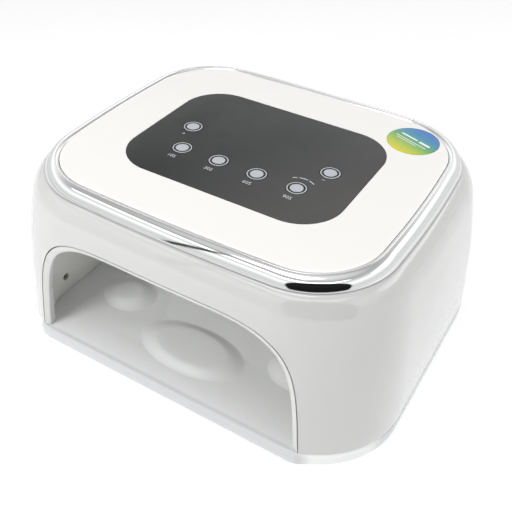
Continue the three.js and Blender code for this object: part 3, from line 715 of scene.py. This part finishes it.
def make_shell():
    outer = [(0.35, SHELL_BOTTOM), (0.1, SHELL_BOTTOM + 0.12), (0.0, SHELL_BOTTOM + 0.4)]
    outer += [(0.0, z) for z in spread(12.0, SHOULDER_START, 24)]
    outer += [(0.0, z) for z in spread(SHOULDER_START, RING_SEAM_Z - 0.65, 20)[1:]]
    lip = RING_SEAM_Z - GAP
    outer += [(0.1, lip - 0.1), (0.35, lip)]
    lip_bottom = DECK_TOP + GAP
    inner = spread(lip_bottom, SHOULDER_START, 8) + spread(78.0, SHELL_BOTTOM, 10)
    rings = [ring(wall_at(z).inset(drawn_in), z) for drawn_in, z in outer]
    rings += stack(RING, [(RING_LEDGE, lip), (RING_LEDGE, lip_bottom)])
    rings += [ring(wall_at(z).inset(SHELL_WALL), z) for z in inner]
    shell = skin("shell", rings, loop=True)
    mouth = arch_block("mouth_cutter", 0.0, BEFORE, -70.0)
    bore = rod("inlet_cutter", INLET_NECK + GAP, -20.0, 20.0, INLET_PLACE, FACE_TURNS["back"], 40)
    carve(shell, [mouth, bore])
    present(smooth(shell), SHELL_WHITE, ["outer_shell"])


def make_trim():
    start, end = (radians(angle) for angle in RING_ARC)
    across = (RING_CREST - 0.2) / (cos(start) - cos(end))
    upward = (LAMP_TOP - RING_SEAM_Z) / (sin(end) - sin(start))
    foot = [(RING_LEDGE + GAP, DECK_TOP + GAP), (RING_LEDGE + GAP, RING_SEAM_Z), (0.8, RING_SEAM_Z)]
    face = [(0.12, RING_SEAM_Z + 0.35)]
    for angle in spread(start, end, 26)[1:]:
        drawn_in = across * (cos(start) - cos(angle))
        face.append((drawn_in, RING_SEAM_Z + upward * (sin(angle) - sin(start))))
    band_start = RING_CREST + 0.3
    crease = [(RING_CREST - 0.08, 0.12), (RING_CREST, 0.34), (RING_CREST + 0.12, 0.2), (band_start, 0.13)]
    band_width = RING_WIDTH - 0.12 - band_start
    band = [(band_start + band_width * share, 0.13 + 0.75 * share**1.5) for share in spread(0.15, 1.0, 8)]
    face += [(drawn_in, LAMP_TOP - drop) for drawn_in, drop in (*crease, *band, (RING_WIDTH, 1.1))]
    section = [*foot, *face, (RING_WIDTH, DECK_TOP + GAP)]
    trim = skin("trim_ring", stack(RING, section, 32, 24), loop=True)
    present(smooth(trim, 40), CHROME, ["chrome_ring"])


def make_fascia():
    edge = RING.inset(RING_WIDTH + GAP)
    top = FASCIA[1].z
    underside = top - FASCIA_THICK
    lower = LAMP_TOP - 0.9
    rings = stack(edge, [(0.0, DECK_TOP + GAP), (0.0, lower), *rounding(FASCIA_ROUND, lower, top, 8)])
    outer_top = rings[-1]
    inner_top = ring(WINDOW.inset(-GAP - 0.12), top)
    for share in spread(0.0, 1.0, 12)[1:]:
        rings.append([a.lerp(b, share) for a, b in zip(outer_top, inner_top)])
    seat_floor = PANEL[0].z - GAP
    seat = [(-GAP, top - 0.12), (-GAP, seat_floor), (SEAT_EDGE, seat_floor), (SEAT_EDGE, underside)]
    rings += stack(WINDOW, seat)
    rings += stack(edge, [(2.0, underside), (2.0, DECK_TOP + GAP)])
    fascia = skin("fascia", rings, loop=True)
    badge_seat = rod("badge_cutter", BADGE_RADIUS + GAP, top - 0.5, top + 2, plan("round_badge"), sides=72)
    carve(fascia, [badge_seat])
    present(smooth(fascia, 30), FASCIA_WHITE, ["top_fascia"])


def make_panel():
    bottom = PANEL[0].z
    top = PANEL[1].z
    lower = top - PANEL_ROUND
    section = [(0.0, bottom), (0.0, lower), *rounding(PANEL_ROUND, lower, top, 5)]
    panel = skin("smoked_panel", stack(WINDOW, section))
    wide = KEY_HOLE + 0.15
    hole = [(KEY_HOLE, bottom - 1), (KEY_HOLE, top - 0.12), (wide, top + 0.05), (wide, top + 1)]
    carve(panel, [turned(f"hole_{key}", hole, 56, place) for key, place in KEY_PLACES.items()])
    present(smooth(panel, 30), PANEL_SMOKED_PAINTED_SHEEN, ["smoked_window"])


# -------- keys and prints


def cap_profile():
    """A key from its flange over the cap's edge and the groove to its middle."""
    flange = [(-0.2, 0.0), (0.0, 0.15), (0.0, KEY_FLANGE_THICK - 0.15), (-0.15, KEY_FLANGE_THICK)]
    side = [(KEY_RADIUS, KEY_BOTTOM + KEY_FLANGE_THICK), (KEY_RADIUS, KEY_TOP - 0.22)]
    edge = [(KEY_RADIUS - 0.07, KEY_TOP - 0.07), (KEY_RADIUS - 0.22, KEY_TOP), (HALO_INNER, KEY_TOP)]
    groove = [(HALO_INNER - 0.15, KEY_TOP - 0.08), (DISC_RADIUS + 0.25, KEY_TOP - 0.08)]
    middle = [(DISC_RADIUS + 0.1, KEY_TOP), (2.0, KEY_TOP), (0.5, KEY_TOP)]
    flange = [(KEY_FLANGE + out, KEY_BOTTOM + rise) for out, rise in flange]
    return flange + side + edge + groove + middle


def halo_profile():
    """Flat print ring with softened edges."""
    soft = 0.04
    bottom = KEY_TOP - 0.1
    top = KEY_TOP + INK
    outside = [(HALO_OUTER, bottom), (HALO_OUTER, top - soft), (HALO_OUTER - soft, top)]
    return outside + [(HALO_INNER + soft, top), (HALO_INNER, top - soft), (HALO_INNER, bottom)]


def disc_profile():
    """Slightly domed print disc."""
    dome = [(DISC_RADIUS, -0.1), (DISC_RADIUS, 0.03), (DISC_RADIUS - 0.12, 0.08), (2.4, 0.1), (0.4, 0.11)]
    return [(radius, KEY_TOP + rise) for radius, rise in dome]


def make_keys():
    for key, place in KEY_PLACES.items():
        body = f"press_{key}"
        cap = turned(f"cap_{key}", cap_profile(), 56, place)
        present(smooth(cap, 40), KEY_SMOKED, [f"key_{key}"], body)
        halo = turned(f"key_halo_{key}", halo_profile(), 56, place, loop=True)
        present(smooth(halo, 50), KEY_PRINT, body=body)
        disc = turned(f"key_disc_{key}", disc_profile(), 56, place)
        present(smooth(disc, 50), KEY_PRINT, body=body)


def print_label(key):
    """A key's name as thin solid ink in front of the key."""
    name = f"label_{key}"
    curve = bpy.data.curves.new(name + "_curve", "FONT")
    curve.body = key.upper()
    curve.size = LABEL_SIZE * MM
    curve.align_x = "CENTER"
    curve.align_y = "CENTER"
    curve.extrude = INK / 2 * MM
    curve.resolution_u = 3
    source = put_in_scene(name + "_source", curve)
    bpy.context.view_layer.update()
    graph = bpy.context.evaluated_depsgraph_get()
    mesh = bpy.data.meshes.new_from_object(source.evaluated_get(graph))
    bpy.data.objects.remove(source)
    place = KEY_PLACES[key] + Vector((LABEL_SHIFT, -LABEL_DROP, KEY_TOP + INK / 2))
    mesh.transform(Matrix.Translation(place * MM))
    present(put_in_scene(name, mesh), LABEL_PRINT)


def bar(name, place, half_x, half_y, floor=KEY_TOP, height=INK):
    """A thin print bar with rounded ends, sunk a little into its surface."""
    radius = min(half_x, half_y) * 0.98
    shape = Outline(half_x, half_y, radius, radius)
    return skin(name, [[p + place for p in ring(shape, z, 6, 2)] for z in (floor - SUNK, floor + height)])


def arc_bar(name, place, start, end):
    """A thin print bar bent round a key."""
    section = ((-1, KEY_TOP - SUNK), (-1, KEY_TOP + INK), (1, KEY_TOP + INK), (1, KEY_TOP - SUNK))
    rings = []
    for angle in spread(radians(start), radians(end), 12):
        out = Vector((cos(angle), sin(angle), 0))
        middle = place + out * DASH_RADIUS
        rings.append([middle + out * DASH_HALF_THICK * side + Vector((0, 0, z)) for side, z in section])
    return skin(name, rings)


def make_prints():
    for key in KEY_PLACES:
        if key.endswith("s"):
            print_label(key)
    place = KEY_PLACES["left"] - Vector((0, PLUS_DROP, 0))
    level = bar("plus_level", place, SIGN_HALF, SIGN_HALF_THICK)
    upright = bar("plus_upright", place, SIGN_HALF_THICK, SIGN_HALF, height=INK + 0.004)
    present(join("mark_plus", [level, upright]), LABEL_PRINT)
    place = KEY_PLACES["right"] - Vector((0, MINUS_DROP, 0))
    present(bar("mark_minus", place, SIGN_HALF, SIGN_HALF_THICK), LABEL_PRINT)
    dashes = [arc_bar(f"dash_{start}", KEY_PLACES["90s"], start, end) for start, end in DASH_ANGLES]
    present(join("mark_arc", dashes), LABEL_PRINT)


def make_badge():
    bottom = BADGE[0].z
    top = BADGE[1].z
    profile = [(BADGE_RADIUS - 0.1, bottom), (BADGE_RADIUS, bottom + 0.1), (BADGE_RADIUS, top - 0.15)]
    profile += [(BADGE_RADIUS - 0.05, top - 0.04), (BADGE_RADIUS - 0.2, top)]
    profile += [(BADGE_RADIUS * 0.5, top), (0.5, top)]
    place = plan("round_badge")
    disc = turned("badge_disc", profile, 96, place)
    present(smooth(disc, 40), BADGE_GRADIENT, ["round_badge"])
    tilt = Matrix.Rotation(radians(BADGE_TILT), 4, "Z")
    bars = []
    for along, across, half_length, half_thick in BADGE_LINES:
        line = bar("badge_line", Vector((along, across, 0)), half_length, half_thick, top, BADGE_INK)
        line.data.transform(Matrix.Translation(place * MM) @ tilt)
        bars.append(line)
    present(join("badge_lines", bars), BADGE_WHITE)


# -------- hand chamber


def body_block(name, drawn_in, bottom, top):
    return skin(name, [ring(wall_at(z).inset(drawn_in), z) for z in spread(bottom, top, 22)])


def chamber_outline(grown):
    return Outline(
        CHAMBER_HALF_X + grown,
        (CHAMBER_REAR - CHAMBER_FRONT) / 2 + grown,
        CHAMBER_CORNER_REAR + grown,
        CHAMBER_CORNER_FRONT + grown,
        centre_y=(CHAMBER_REAR + CHAMBER_FRONT) / 2,
    )


def chamber_block(name, grown, bottom):
    shape = chamber_outline(grown)
    rings = [ring(shape, z) for z in (*spread(bottom, CHAMBER_STRAIGHT - 4, 5), CHAMBER_STRAIGHT)]
    for drawn_in, z in rounding(CHAMBER_ROLL, CHAMBER_STRAIGHT, CHAMBER_CEILING + grown, 15):
        rings.append(ring(shape.inset(drawn_in, 0.5), z))
    return skin(name, rings)


# Light boards: where each one's lenses stand, which way it faces, and sizes of lens and board.
SIDE_LED_Z = 35.0
LED_FACES = {
    "top": [(x, y, CHAMBER_CEILING) for x in spread(-46.0, 46.0, 5) for y in spread(-50.0, 32.0, 4)],
    "left": [(-CHAMBER_HALF_X, y, SIDE_LED_Z) for y in spread(-22.0, 22.0, 5)],
    "right": [(CHAMBER_HALF_X, y, SIDE_LED_Z) for y in spread(-22.0, 22.0, 5)],
    "back": [(x, CHAMBER_REAR, SIDE_LED_Z) for x in spread(-35.0, 35.0, 6)],
}
FACE_TURNS = {
    "top": Matrix.Identity(3),
    "left": Matrix.Rotation(-pi / 2, 3, "Y"),
    "right": Matrix.Rotation(pi / 2, 3, "Y"),
    "back": Matrix.Rotation(-pi / 2, 3, "X"),
}
LENS_RADIUS = 3.4
LENS_HOLE = 4.0
LENS_DOME = [(0.3, -1.0), (1.6, -0.93), (2.6, -0.7), (LENS_RADIUS - 0.25, -0.3)]
BOARD_BACK = LINER_WALL + GAP
BOARD_THICK = 1.6
BOARD_MARGIN = 6.0
BOARD_BEVEL = 0.2


def arch_block(name, drawn_in, front, rear):
    """Solid that fills the hand opening's arch between two depths."""
    line = arch(drawn_in)
    edge = [(line[0][0], -5.0), *line, (line[-1][0], -5.0)]
    return skin(name, [[Vector((x, y, z)) for x, z in edge] for y in (front, rear)])


def liner_tools(throat_start):
    """What is cut out of the liner: the chamber, the mouth and all its holes."""
    tools = [chamber_block("hollow", 0.0, BELOW), arch_block("rim_space", 0.0, BEFORE, throat_start)]
    tools.append(arch_block("tunnel", THROAT_INNER, BEFORE, THROAT_END + 2.0))
    for face, places in LED_FACES.items():
        holes = [rod("hole", LENS_HOLE, -3.0, 4.0, place, FACE_TURNS[face]) for place in places]
        tools.append(join(f"led_holes_{face}", holes))
    sensor = centre_mm("hand_sensor_left")
    place = (0, sensor.y, sensor.z)
    tools.append(rod("sensor_hole", SENSOR_HOLE, -130.0, 130.0, place, FACE_TURNS["right"]))
    posts = [rod("post_space", POST_SPACE, 5.0, 60.0, place) for place in plans("liner_screw_")]
    return [*tools, join("post_spaces", posts)]


def make_liner():
    def within_shell(piece):
        limit = body_block("limit", SHELL_WALL + GAP, SHELL_BOTTOM, SHOULDER_START)
        return combine(piece, limit, "INTERSECT")

    liner = within_shell(chamber_block("liner", LINER_WALL, 0.0))
    throat_start = RIM_BACK + GAP
    combine(liner, within_shell(arch_block("throat", THROAT_OUTER, throat_start, THROAT_END)), "UNION")
    lip = chamber_outline(LINER_WALL + LINER_LIP)
    lip_bottom = FRAME_TOP + GAP
    foot = skin("foot", [ring(lip, z) for z in (lip_bottom, lip_bottom + LINER_LIP_THICK)])
    combine(liner, within_shell(foot), "UNION")
    carve(liner, liner_tools(throat_start))
    present(smooth(liner, 32), LINER_WHITE, ["inner_liner"])


def make_mouth_rim():
    """Frame round the hand opening: nearly flush with the shell, falling a little towards the opening."""
    outer_line = arch(2 * GAP, 161)
    inner_line = arch(RIM_WIDTH, 161)
    face = [(0.0, 0.35), (0.015, 0.12), (0.05, 0.05)]
    face += [(t, 0.05 + (RIM_DEPTH - 0.15) * t**1.15) for t in spread(0.12, 0.93, 8)]
    face += [(0.975, RIM_DEPTH), (1.0, RIM_DEPTH + 0.2)]
    stations = []
    for (ox, oz), (ix, iz) in zip(outer_line, inner_line):
        front = front_face_y(ox, max(oz, SHELL_BOTTOM))
        section = [(0.0, RIM_BACK - front), *face, (1.0, RIM_BACK - front)]
        points = []
        for across, back in section:
            z = max(oz + (iz - oz) * across, SHELL_BOTTOM)
            points.append(Vector((ox + (ix - ox) * across, front + back, z)))
        stations.append(points)
    above = [i for i, station in enumerate(stations) if station[0].z > SHELL_BOTTOM]
    rim = skin("mouth_frame", stations[above[0] - 1 : above[-1] + 2])
    present(smooth(rim, 40), RIM_WHITE, ["mouth_rim"])


def make_bottom_frame():
    """Flat frame that closes the housing's underside round the hand chamber."""
    plate = body_block("underside_frame", SHELL_WALL + GAP, SHELL_BOTTOM, FRAME_TOP)
    hollow = chamber_block("frame_hollow", LINER_WALL + GAP, BELOW)
    front_end = CHAMBER_FRONT + CHAMBER_CORNER_FRONT
    front = block("frame_front", (-BASE_HALF_X, -BASE_HALF_Y, BELOW), (BASE_HALF_X, front_end, LAMP_TOP))
    step = SHELL_BOTTOM + WELL_DEPTH
    well = [(WELL_RADIUS, 0.0), (WELL_RADIUS, step), (SCREW_HOLE, step), (SCREW_HOLE, 20.0)]
    wells = [turned("well", well, 28, place) for place in plans("liner_screw_")]
    wells += [rod("well", MAGNET_POCKET, 0.0, step, place) for place in plans("strike_plate_")]
    carve(plate, [hollow, front, join("wells", wells)])
    present(smooth(plate, 32), LINER_WHITE, ["bottom_frame"])


def make_lenses(face):
    flange = [(LENS_RADIUS, 0.3), (LENS_RADIUS, BOARD_BACK + 0.3), (LENS_RADIUS - 0.4, BOARD_BACK + 0.4)]
    lenses = [turned("lens", LENS_DOME + flange, 24, place, FACE_TURNS[face]) for place in LED_FACES[face]]
    present(smooth(join(f"led_lenses_{face}", lenses), 60), LED_LENS)


def make_light_board(face):
    turn = FACE_TURNS[face]
    spots = [Vector(place) for place in LED_FACES[face]]
    middle = sum(spots, Vector()) / len(spots)
    offsets = [turn.inverted() @ (spot - middle) for spot in spots]
    half_x, half_y = (max(abs(offset[i]) for offset in offsets) + BOARD_MARGIN for i in (0, 1))
    shape = Outline(half_x, half_y, 2.0, 2.0)
    end = BOARD_BACK + BOARD_THICK
    section = [(BOARD_BEVEL, BOARD_BACK), (0.0, BOARD_BACK + BOARD_BEVEL)]
    section += [(0.0, end - BOARD_BEVEL), (BOARD_BEVEL, end)]
    rings = [[turn @ p + middle for p in level] for level in stack(shape, section, 5, 2)]
    board = skin(f"light_board_{face}", rings)
    present(smooth(board, 30), BOARD_WHITE, [f"led_board_{face}"])


# -------- base tray


def mound(x, y, half_x, half_y, slope):
    """A raised finger rest: a crisp foot, a sloping side and a gently domed top."""
    rings = []
    for share in [1.012, *spread(1.0, 1 - slope, 9), *spread(1 - slope, 0.02, 9)[1:]]:
        climb = clamp01((1 - share) / slope)
        soft = climb * climb * (3 - 2 * climb)
        side = soft + MOUND_CRISPNESS * (sin(climb * pi / 2) - soft)
        height = MOUND_RISE * (0.84 * side + 0.16 * (1 - min(1.0, share) ** 2))
        z = TRAY_TOP + (height if share <= 1 else -1.0)
        rings.append([p + Vector((x, y, 0)) for p in oval(half_x * share, half_y * share, z, 96)])
    return skin("mound", rings)


def tray_body():
    """The moulding without its rests: cavity ceiling, skirt, outer wall, rounded edge and floor."""
    bottom = TRAY[0].z
    lower = TRAY_TOP - TRAY_ROUND
    section = [(TRAY_SKIRT, TRAY_CAVITY), (TRAY_SKIRT, bottom), (1.5, bottom), (1.0, bottom + 0.1)]
    section += [(0.35, bottom + 0.5), (0.0, bottom + 1.2), (0.0, 4.0), (0.0, lower)]
    section += [*rounding(TRAY_ROUND_WIDTH, lower, TRAY_TOP, 15), (6.0, TRAY_TOP), (20.0, TRAY_TOP)]
    middle = Outline(21.5, 1.2, 0.3, 0.3)
    return skin("tray", [ring(middle, TRAY_CAVITY), *stack(BASE, section)])


def tray_studs():
    """Ribs and posts under the tray's floor, each running a little way into it."""
    bottom = TRAY[0].z
    half_x = BASE.half_x - TRAY_SKIRT + 0.5
    half_y = BASE.half_y - TRAY_SKIRT + 0.5
    studs = []
    for side in (-1, 1):
        x = side * RIB_X
        y = side * RIB_Y
        studs.append(block("rib", (x - RIB_HALF, -half_y, RIB_BOTTOM), (x + RIB_HALF, half_y, STUD_TOP)))
        studs.append(block("rib", (-half_x, y - RIB_HALF, RIB_BOTTOM), (half_x, y + RIB_HALF, STUD_TOP)))
    foot_post = [(FOOT_POST - 0.1, bottom), (FOOT_POST, bottom + 0.1), (FOOT_POST, STUD_TOP)]
    studs += [turned("post", foot_post, 40, place) for place in plans("foot_")]
    for place in plans("tray_magnet_"):
        studs.append(rod("post", MAGNET_POST, MAGNET_POST_BOTTOM, STUD_TOP, place, sides=40))
    return studs


def make_tray():
    tray = tray_body()
    for piece in [mound(*place) for place in MOUNDS] + tray_studs():
        combine(tray, piece, "UNION")
    for place in plans("foot_"):
        carve(tray, [rod("pocket", FOOT_POCKET, BELOW, FOOT_POCKET_TOP, place, sides=40)])
    seat = box_mm("tray_magnet_1")[0].z - GAP
    for place in plans("tray_magnet_"):
        carve(tray, [rod("pocket", MAGNET_POCKET, seat, 20.0, place, sides=40)])
    present(smooth(tray, 11), TRAY_WHITE_PAINTED_SHADE, ["base_tray"], "base")


def make_foot(number):
    low, high = box_mm(f"foot_{number}")
    radius = (high.x - low.x) / 2
    profile = [(1.6, 0.5), (1.8, 0.0), (radius - 0.5, 0.0), (radius - 0.12, 0.12), (radius, 0.5)]
    profile.append((radius, high.z))
    foot = turned(f"rubber_foot_{number}", profile, 48, plan(f"foot_{number}"))
    present(smooth(foot, 40), RUBBER, [f"foot_{number}"], "base")


# -------- small fittings


def make_screw(name, node, head_up):
    low, high = box_mm(node)
    place = plan(node)
    turn = Matrix.Rotation(pi, 3, "X") if head_up else Matrix.Identity(3)
    place.z = high.z if head_up else low.z
    length = high.z - low.z
    profile = list(SCREW_HEAD)
    z = 1.3
    while z + SCREW_PITCH < length - 1.2:
        profile += [(SCREW_CORE, z), (SCREW_CREST, z + SCREW_PITCH / 2)]
        z += SCREW_PITCH
    profile += [(SCREW_CORE, length - 1.0), (0.15, length)]
    screw = turned(name, profile, 28, place, turn)
    below, above = (0.7, 0.5) if head_up else (0.5, 0.7)
    slots = []
    for half_x, half_y in ((SLOT_HALF, SLOT_HALF_WIDTH), (SLOT_HALF_WIDTH, SLOT_HALF)):
        low_corner = place - Vector((half_x, half_y, below))
        slots.append(block("slot", low_corner, place + Vector((half_x, half_y, above))))
    carve(screw, slots)
    present(smooth(screw, 35), STEEL, [node])


def make_inlet():
    depth = INLET[1].y - INLET[0].y
    turn = Matrix.Rotation(pi / 2, 3, "X")
    neck = [(INLET_NECK - 0.15, 0.0), (INLET_NECK, 0.15), (INLET_NECK, SHELL_WALL)]
    body = [(INLET_BODY - 0.1, SHELL_WALL), (INLET_BODY, SHELL_WALL + 0.1), (INLET_BODY, depth)]
    rear_hole = [(INLET_REAR, depth), (INLET_REAR, depth - 2.0)]
    hole = [(INLET_HOLE, depth - 2.2), (INLET_HOLE, 0.25), (INLET_HOLE + 0.2, 0.0)]
    socket = turned("inlet_socket", neck + body + rear_hole + hole, 48, INLET_PLACE, turn, loop=True)
    present(smooth(socket, 30), BLACK_PLASTIC, ["power_inlet"])
    tip = [(0.3, 1.2), (0.75, 1.35), (0.9, 1.7)]
    pin = turned("inlet_pin", [*tip, (0.9, depth - 1.6)], 32, INLET_PLACE, turn)
    present(smooth(pin, 40), STEEL)
    plug = rod("inlet_back", INLET_REAR + 0.05, depth - 1.8, depth - 0.2, INLET_PLACE, turn, 32)
    present(smooth(plug, 40), BLACK_PLASTIC)


def finish_cad_nodes():
    """Procedural finishes for the CAD nodes that stay in view."""
    finishes = {
        ("control_board",): BOARD_GREEN,
        ("deck_plate", "display_module", "hand_sensor", "switch"): BLACK_PLASTIC,
        ("strike_plate", "tray_magnet"): STEEL,
        ("wire",): WIRE_RED,
    }
    for name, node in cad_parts.items():
        for prefixes, material in finishes.items():
            if name.startswith(prefixes):
                node.data.materials.clear()
                node.data.materials.append(material)


make_shell()
make_trim()
make_fascia()
make_panel()
make_keys()
make_prints()
make_badge()
make_liner()
make_mouth_rim()
make_bottom_frame()
for board_face in LED_FACES:
    make_lenses(board_face)
    make_light_board(board_face)
make_tray()
for number in range(1, 5):
    make_foot(number)
for number in range(1, 7):
    make_screw(f"screw_liner_{number}", f"liner_screw_{number}", False)
for number in range(1, 5):
    make_screw(f"screw_board_{number}", f"board_screw_{number}", True)
make_inlet()
finish_cad_nodes()


# -------- studio

# Grey of the room as matt faces see it, by the share of a direction that points to its dim side; and as
# glossy faces mirror it, by height from the horizon to straight up.
DIM_SIDE = (0.50, -0.86, 0.10)
ROOM_BY_SIDE = [(0.0, 0.43), (0.45, 0.34), (0.9, 0.10)]
ROOM_BY_HEIGHT = [(0.0, 1.2), (0.1, 0.9), (0.28, 1.15), (0.4, 1.6)]
ROOM_BY_HEIGHT += [(0.54, 1.2), (0.66, 0.75), (0.8, 0.6), (1.0, 1.2)]

# Cards that only glossy faces see: direction of the middle, half sizes, slant, and the brightness that
# they multiply the room's by.
CARDS = [
    ((0.58, -0.75, 0.22), (0.64, 0.58, 0.52), 0.0, 0.015),
    ((-0.44, -0.76, 0.35), (0.014, 0.60, 0.60), 0.123, 0.015),
    ((0.10, -0.55, 0.70), (1.0, 0.60, 0.07), 0.0, 4.0),
    ((0.62, 0.62, 0.50), (0.45, 0.50, 0.16), 0.0, 2.2),
]
CARD_EDGE = 0.94

# Softboxes: place, the point they face, width, height, watts, and whether glossy faces mirror them.
SOFTBOXES = {
    "softbox_top": ((-0.05, -0.25, 1.25), (0, 0, 0), 0.7, 0.5, 3.8, True),
    "softbox_right": ((1.2, 0.2, 0.9), (0, 0, 0.05), 0.9, 0.7, 10.5, False),
    "softbox_front": ((-0.26, -0.66, 0.36), (-0.02, -0.05, 0.03), 0.30, 0.24, 3.2, False),
}


def grey(level):
    return (level, level, level)


def make_floor():
    """Wide floor that reflects and glows evenly, so it comes out white."""
    half = 4000
    corners = [(-half, -half, 0), (half, -half, 0), (half, half, 0), (-half, half, 0)]
    floor = mesh_object("floor", corners, [(0, 1, 2, 3)])
    recipe = Recipe("floor_pale", grey(0.61), 0.8, Specular_IOR_Level=0.1)
    recipe.tint(recipe.noise(3.0, 3.0), [(0.3, grey(0.60)), (0.7, grey(0.62))])
    recipe.shader.inputs["Emission Color"].default_value = (1, 1, 1, 1)
    recipe.shader.inputs["Emission Strength"].default_value = 0.50
    floor.data.materials.append(recipe.material)


def card_factor(nodes, place, toward, size, slant, brightness):
    """What one card multiplies the mirrored room by: its brightness inside its oval, one outside it."""
    offset = nodes.vector("SUBTRACT", place, toward)
    slanted = nodes.vector("DOT_PRODUCT", offset, (1 / size[0], 0.0, -slant / size[0]))
    scaled = nodes.split(nodes.vector("DIVIDE", offset, size))
    on_card = nodes.add("ShaderNodeCombineXYZ", slanted, scaled["Y"], scaled["Z"])
    return nodes.remap(nodes.vector("LENGTH", on_card.outputs["Vector"]), CARD_EDGE, 1.0, brightness)


def make_world():
    """A pale studio room: dimmer on the side of the lamp's front right corner, plain white behind it."""
    world = bpy.data.worlds.new("studio")
    bpy.context.scene.world = world
    world.use_nodes = True
    nodes = Nodes(world.node_tree)
    nodes.tree.nodes.clear()

    def graded(factor, stops):
        colour = nodes.ramp(factor, [(at, grey(level)) for at, level in stops])
        return nodes.add("ShaderNodeBackground", colour)

    def mixed(rays, first, second):
        return nodes.add("ShaderNodeMixShader", path.outputs[rays], first.outputs[0], second.outputs[0])

    path = nodes.add("ShaderNodeLightPath")
    place = nodes.add("ShaderNodeTexCoord").outputs["Generated"]
    room = graded(nodes.vector("DOT_PRODUCT", place, DIM_SIDE), ROOM_BY_SIDE)
    mirror = graded(nodes.split(place)["Z"], ROOM_BY_HEIGHT)
    brightness = card_factor(nodes, place, *CARDS[0])
    for card in CARDS[1:]:
        brightness = nodes.calculate("MULTIPLY", brightness, card_factor(nodes, place, *card))
    nodes.link(brightness, mirror.inputs["Strength"])
    seen = nodes.add("ShaderNodeBackground")
    seen.inputs["Color"].default_value = (1, 1, 1, 1)
    whole = mixed("Is Camera Ray", mixed("Is Glossy Ray", room, mirror), seen)
    nodes.add("ShaderNodeOutputWorld", whole.outputs[0])


def make_softbox(name, place, target, width, height, power, mirrored):
    light = bpy.data.lights.new(name, "AREA")
    light.shape = "RECTANGLE"
    light.size = width
    light.size_y = height
    light.energy = power
    obj = put_in_scene(name, light)
    obj.location = place
    obj.rotation_euler = (Vector(target) - Vector(place)).to_track_quat("-Z", "Y").to_euler()
    obj.visible_glossy = mirrored


def make_camera():
    data = bpy.data.cameras.new("camera")
    data.sensor_width = 36.0
    data.lens = 50.38
    data.clip_start = 0.01
    camera = put_in_scene("camera", data)
    place = Vector((0.16622, -0.29005, 0.30888))
    azimuth = radians(29.56)
    elevation = radians(39.68)
    roll = radians(2.18)
    level = Vector((-sin(azimuth), cos(azimuth), 0))
    forward = level * cos(elevation) - Vector((0, 0, sin(elevation)))
    right = Vector((cos(azimuth), sin(azimuth), 0))
    up = right.cross(forward)
    across = right * cos(roll) + up * sin(roll)
    upward = up * cos(roll) - right * sin(roll)
    axes = Matrix((across, upward, -forward)).transposed().to_4x4()
    camera.matrix_world = Matrix.Translation(place) @ axes
    bpy.context.scene.camera = camera


make_floor()
make_world()
for softbox, settings in SOFTBOXES.items():
    make_softbox(softbox, *settings)
make_camera()
bpy.context.scene.view_settings.view_transform = "Standard"

bpy.context.view_layer.update()
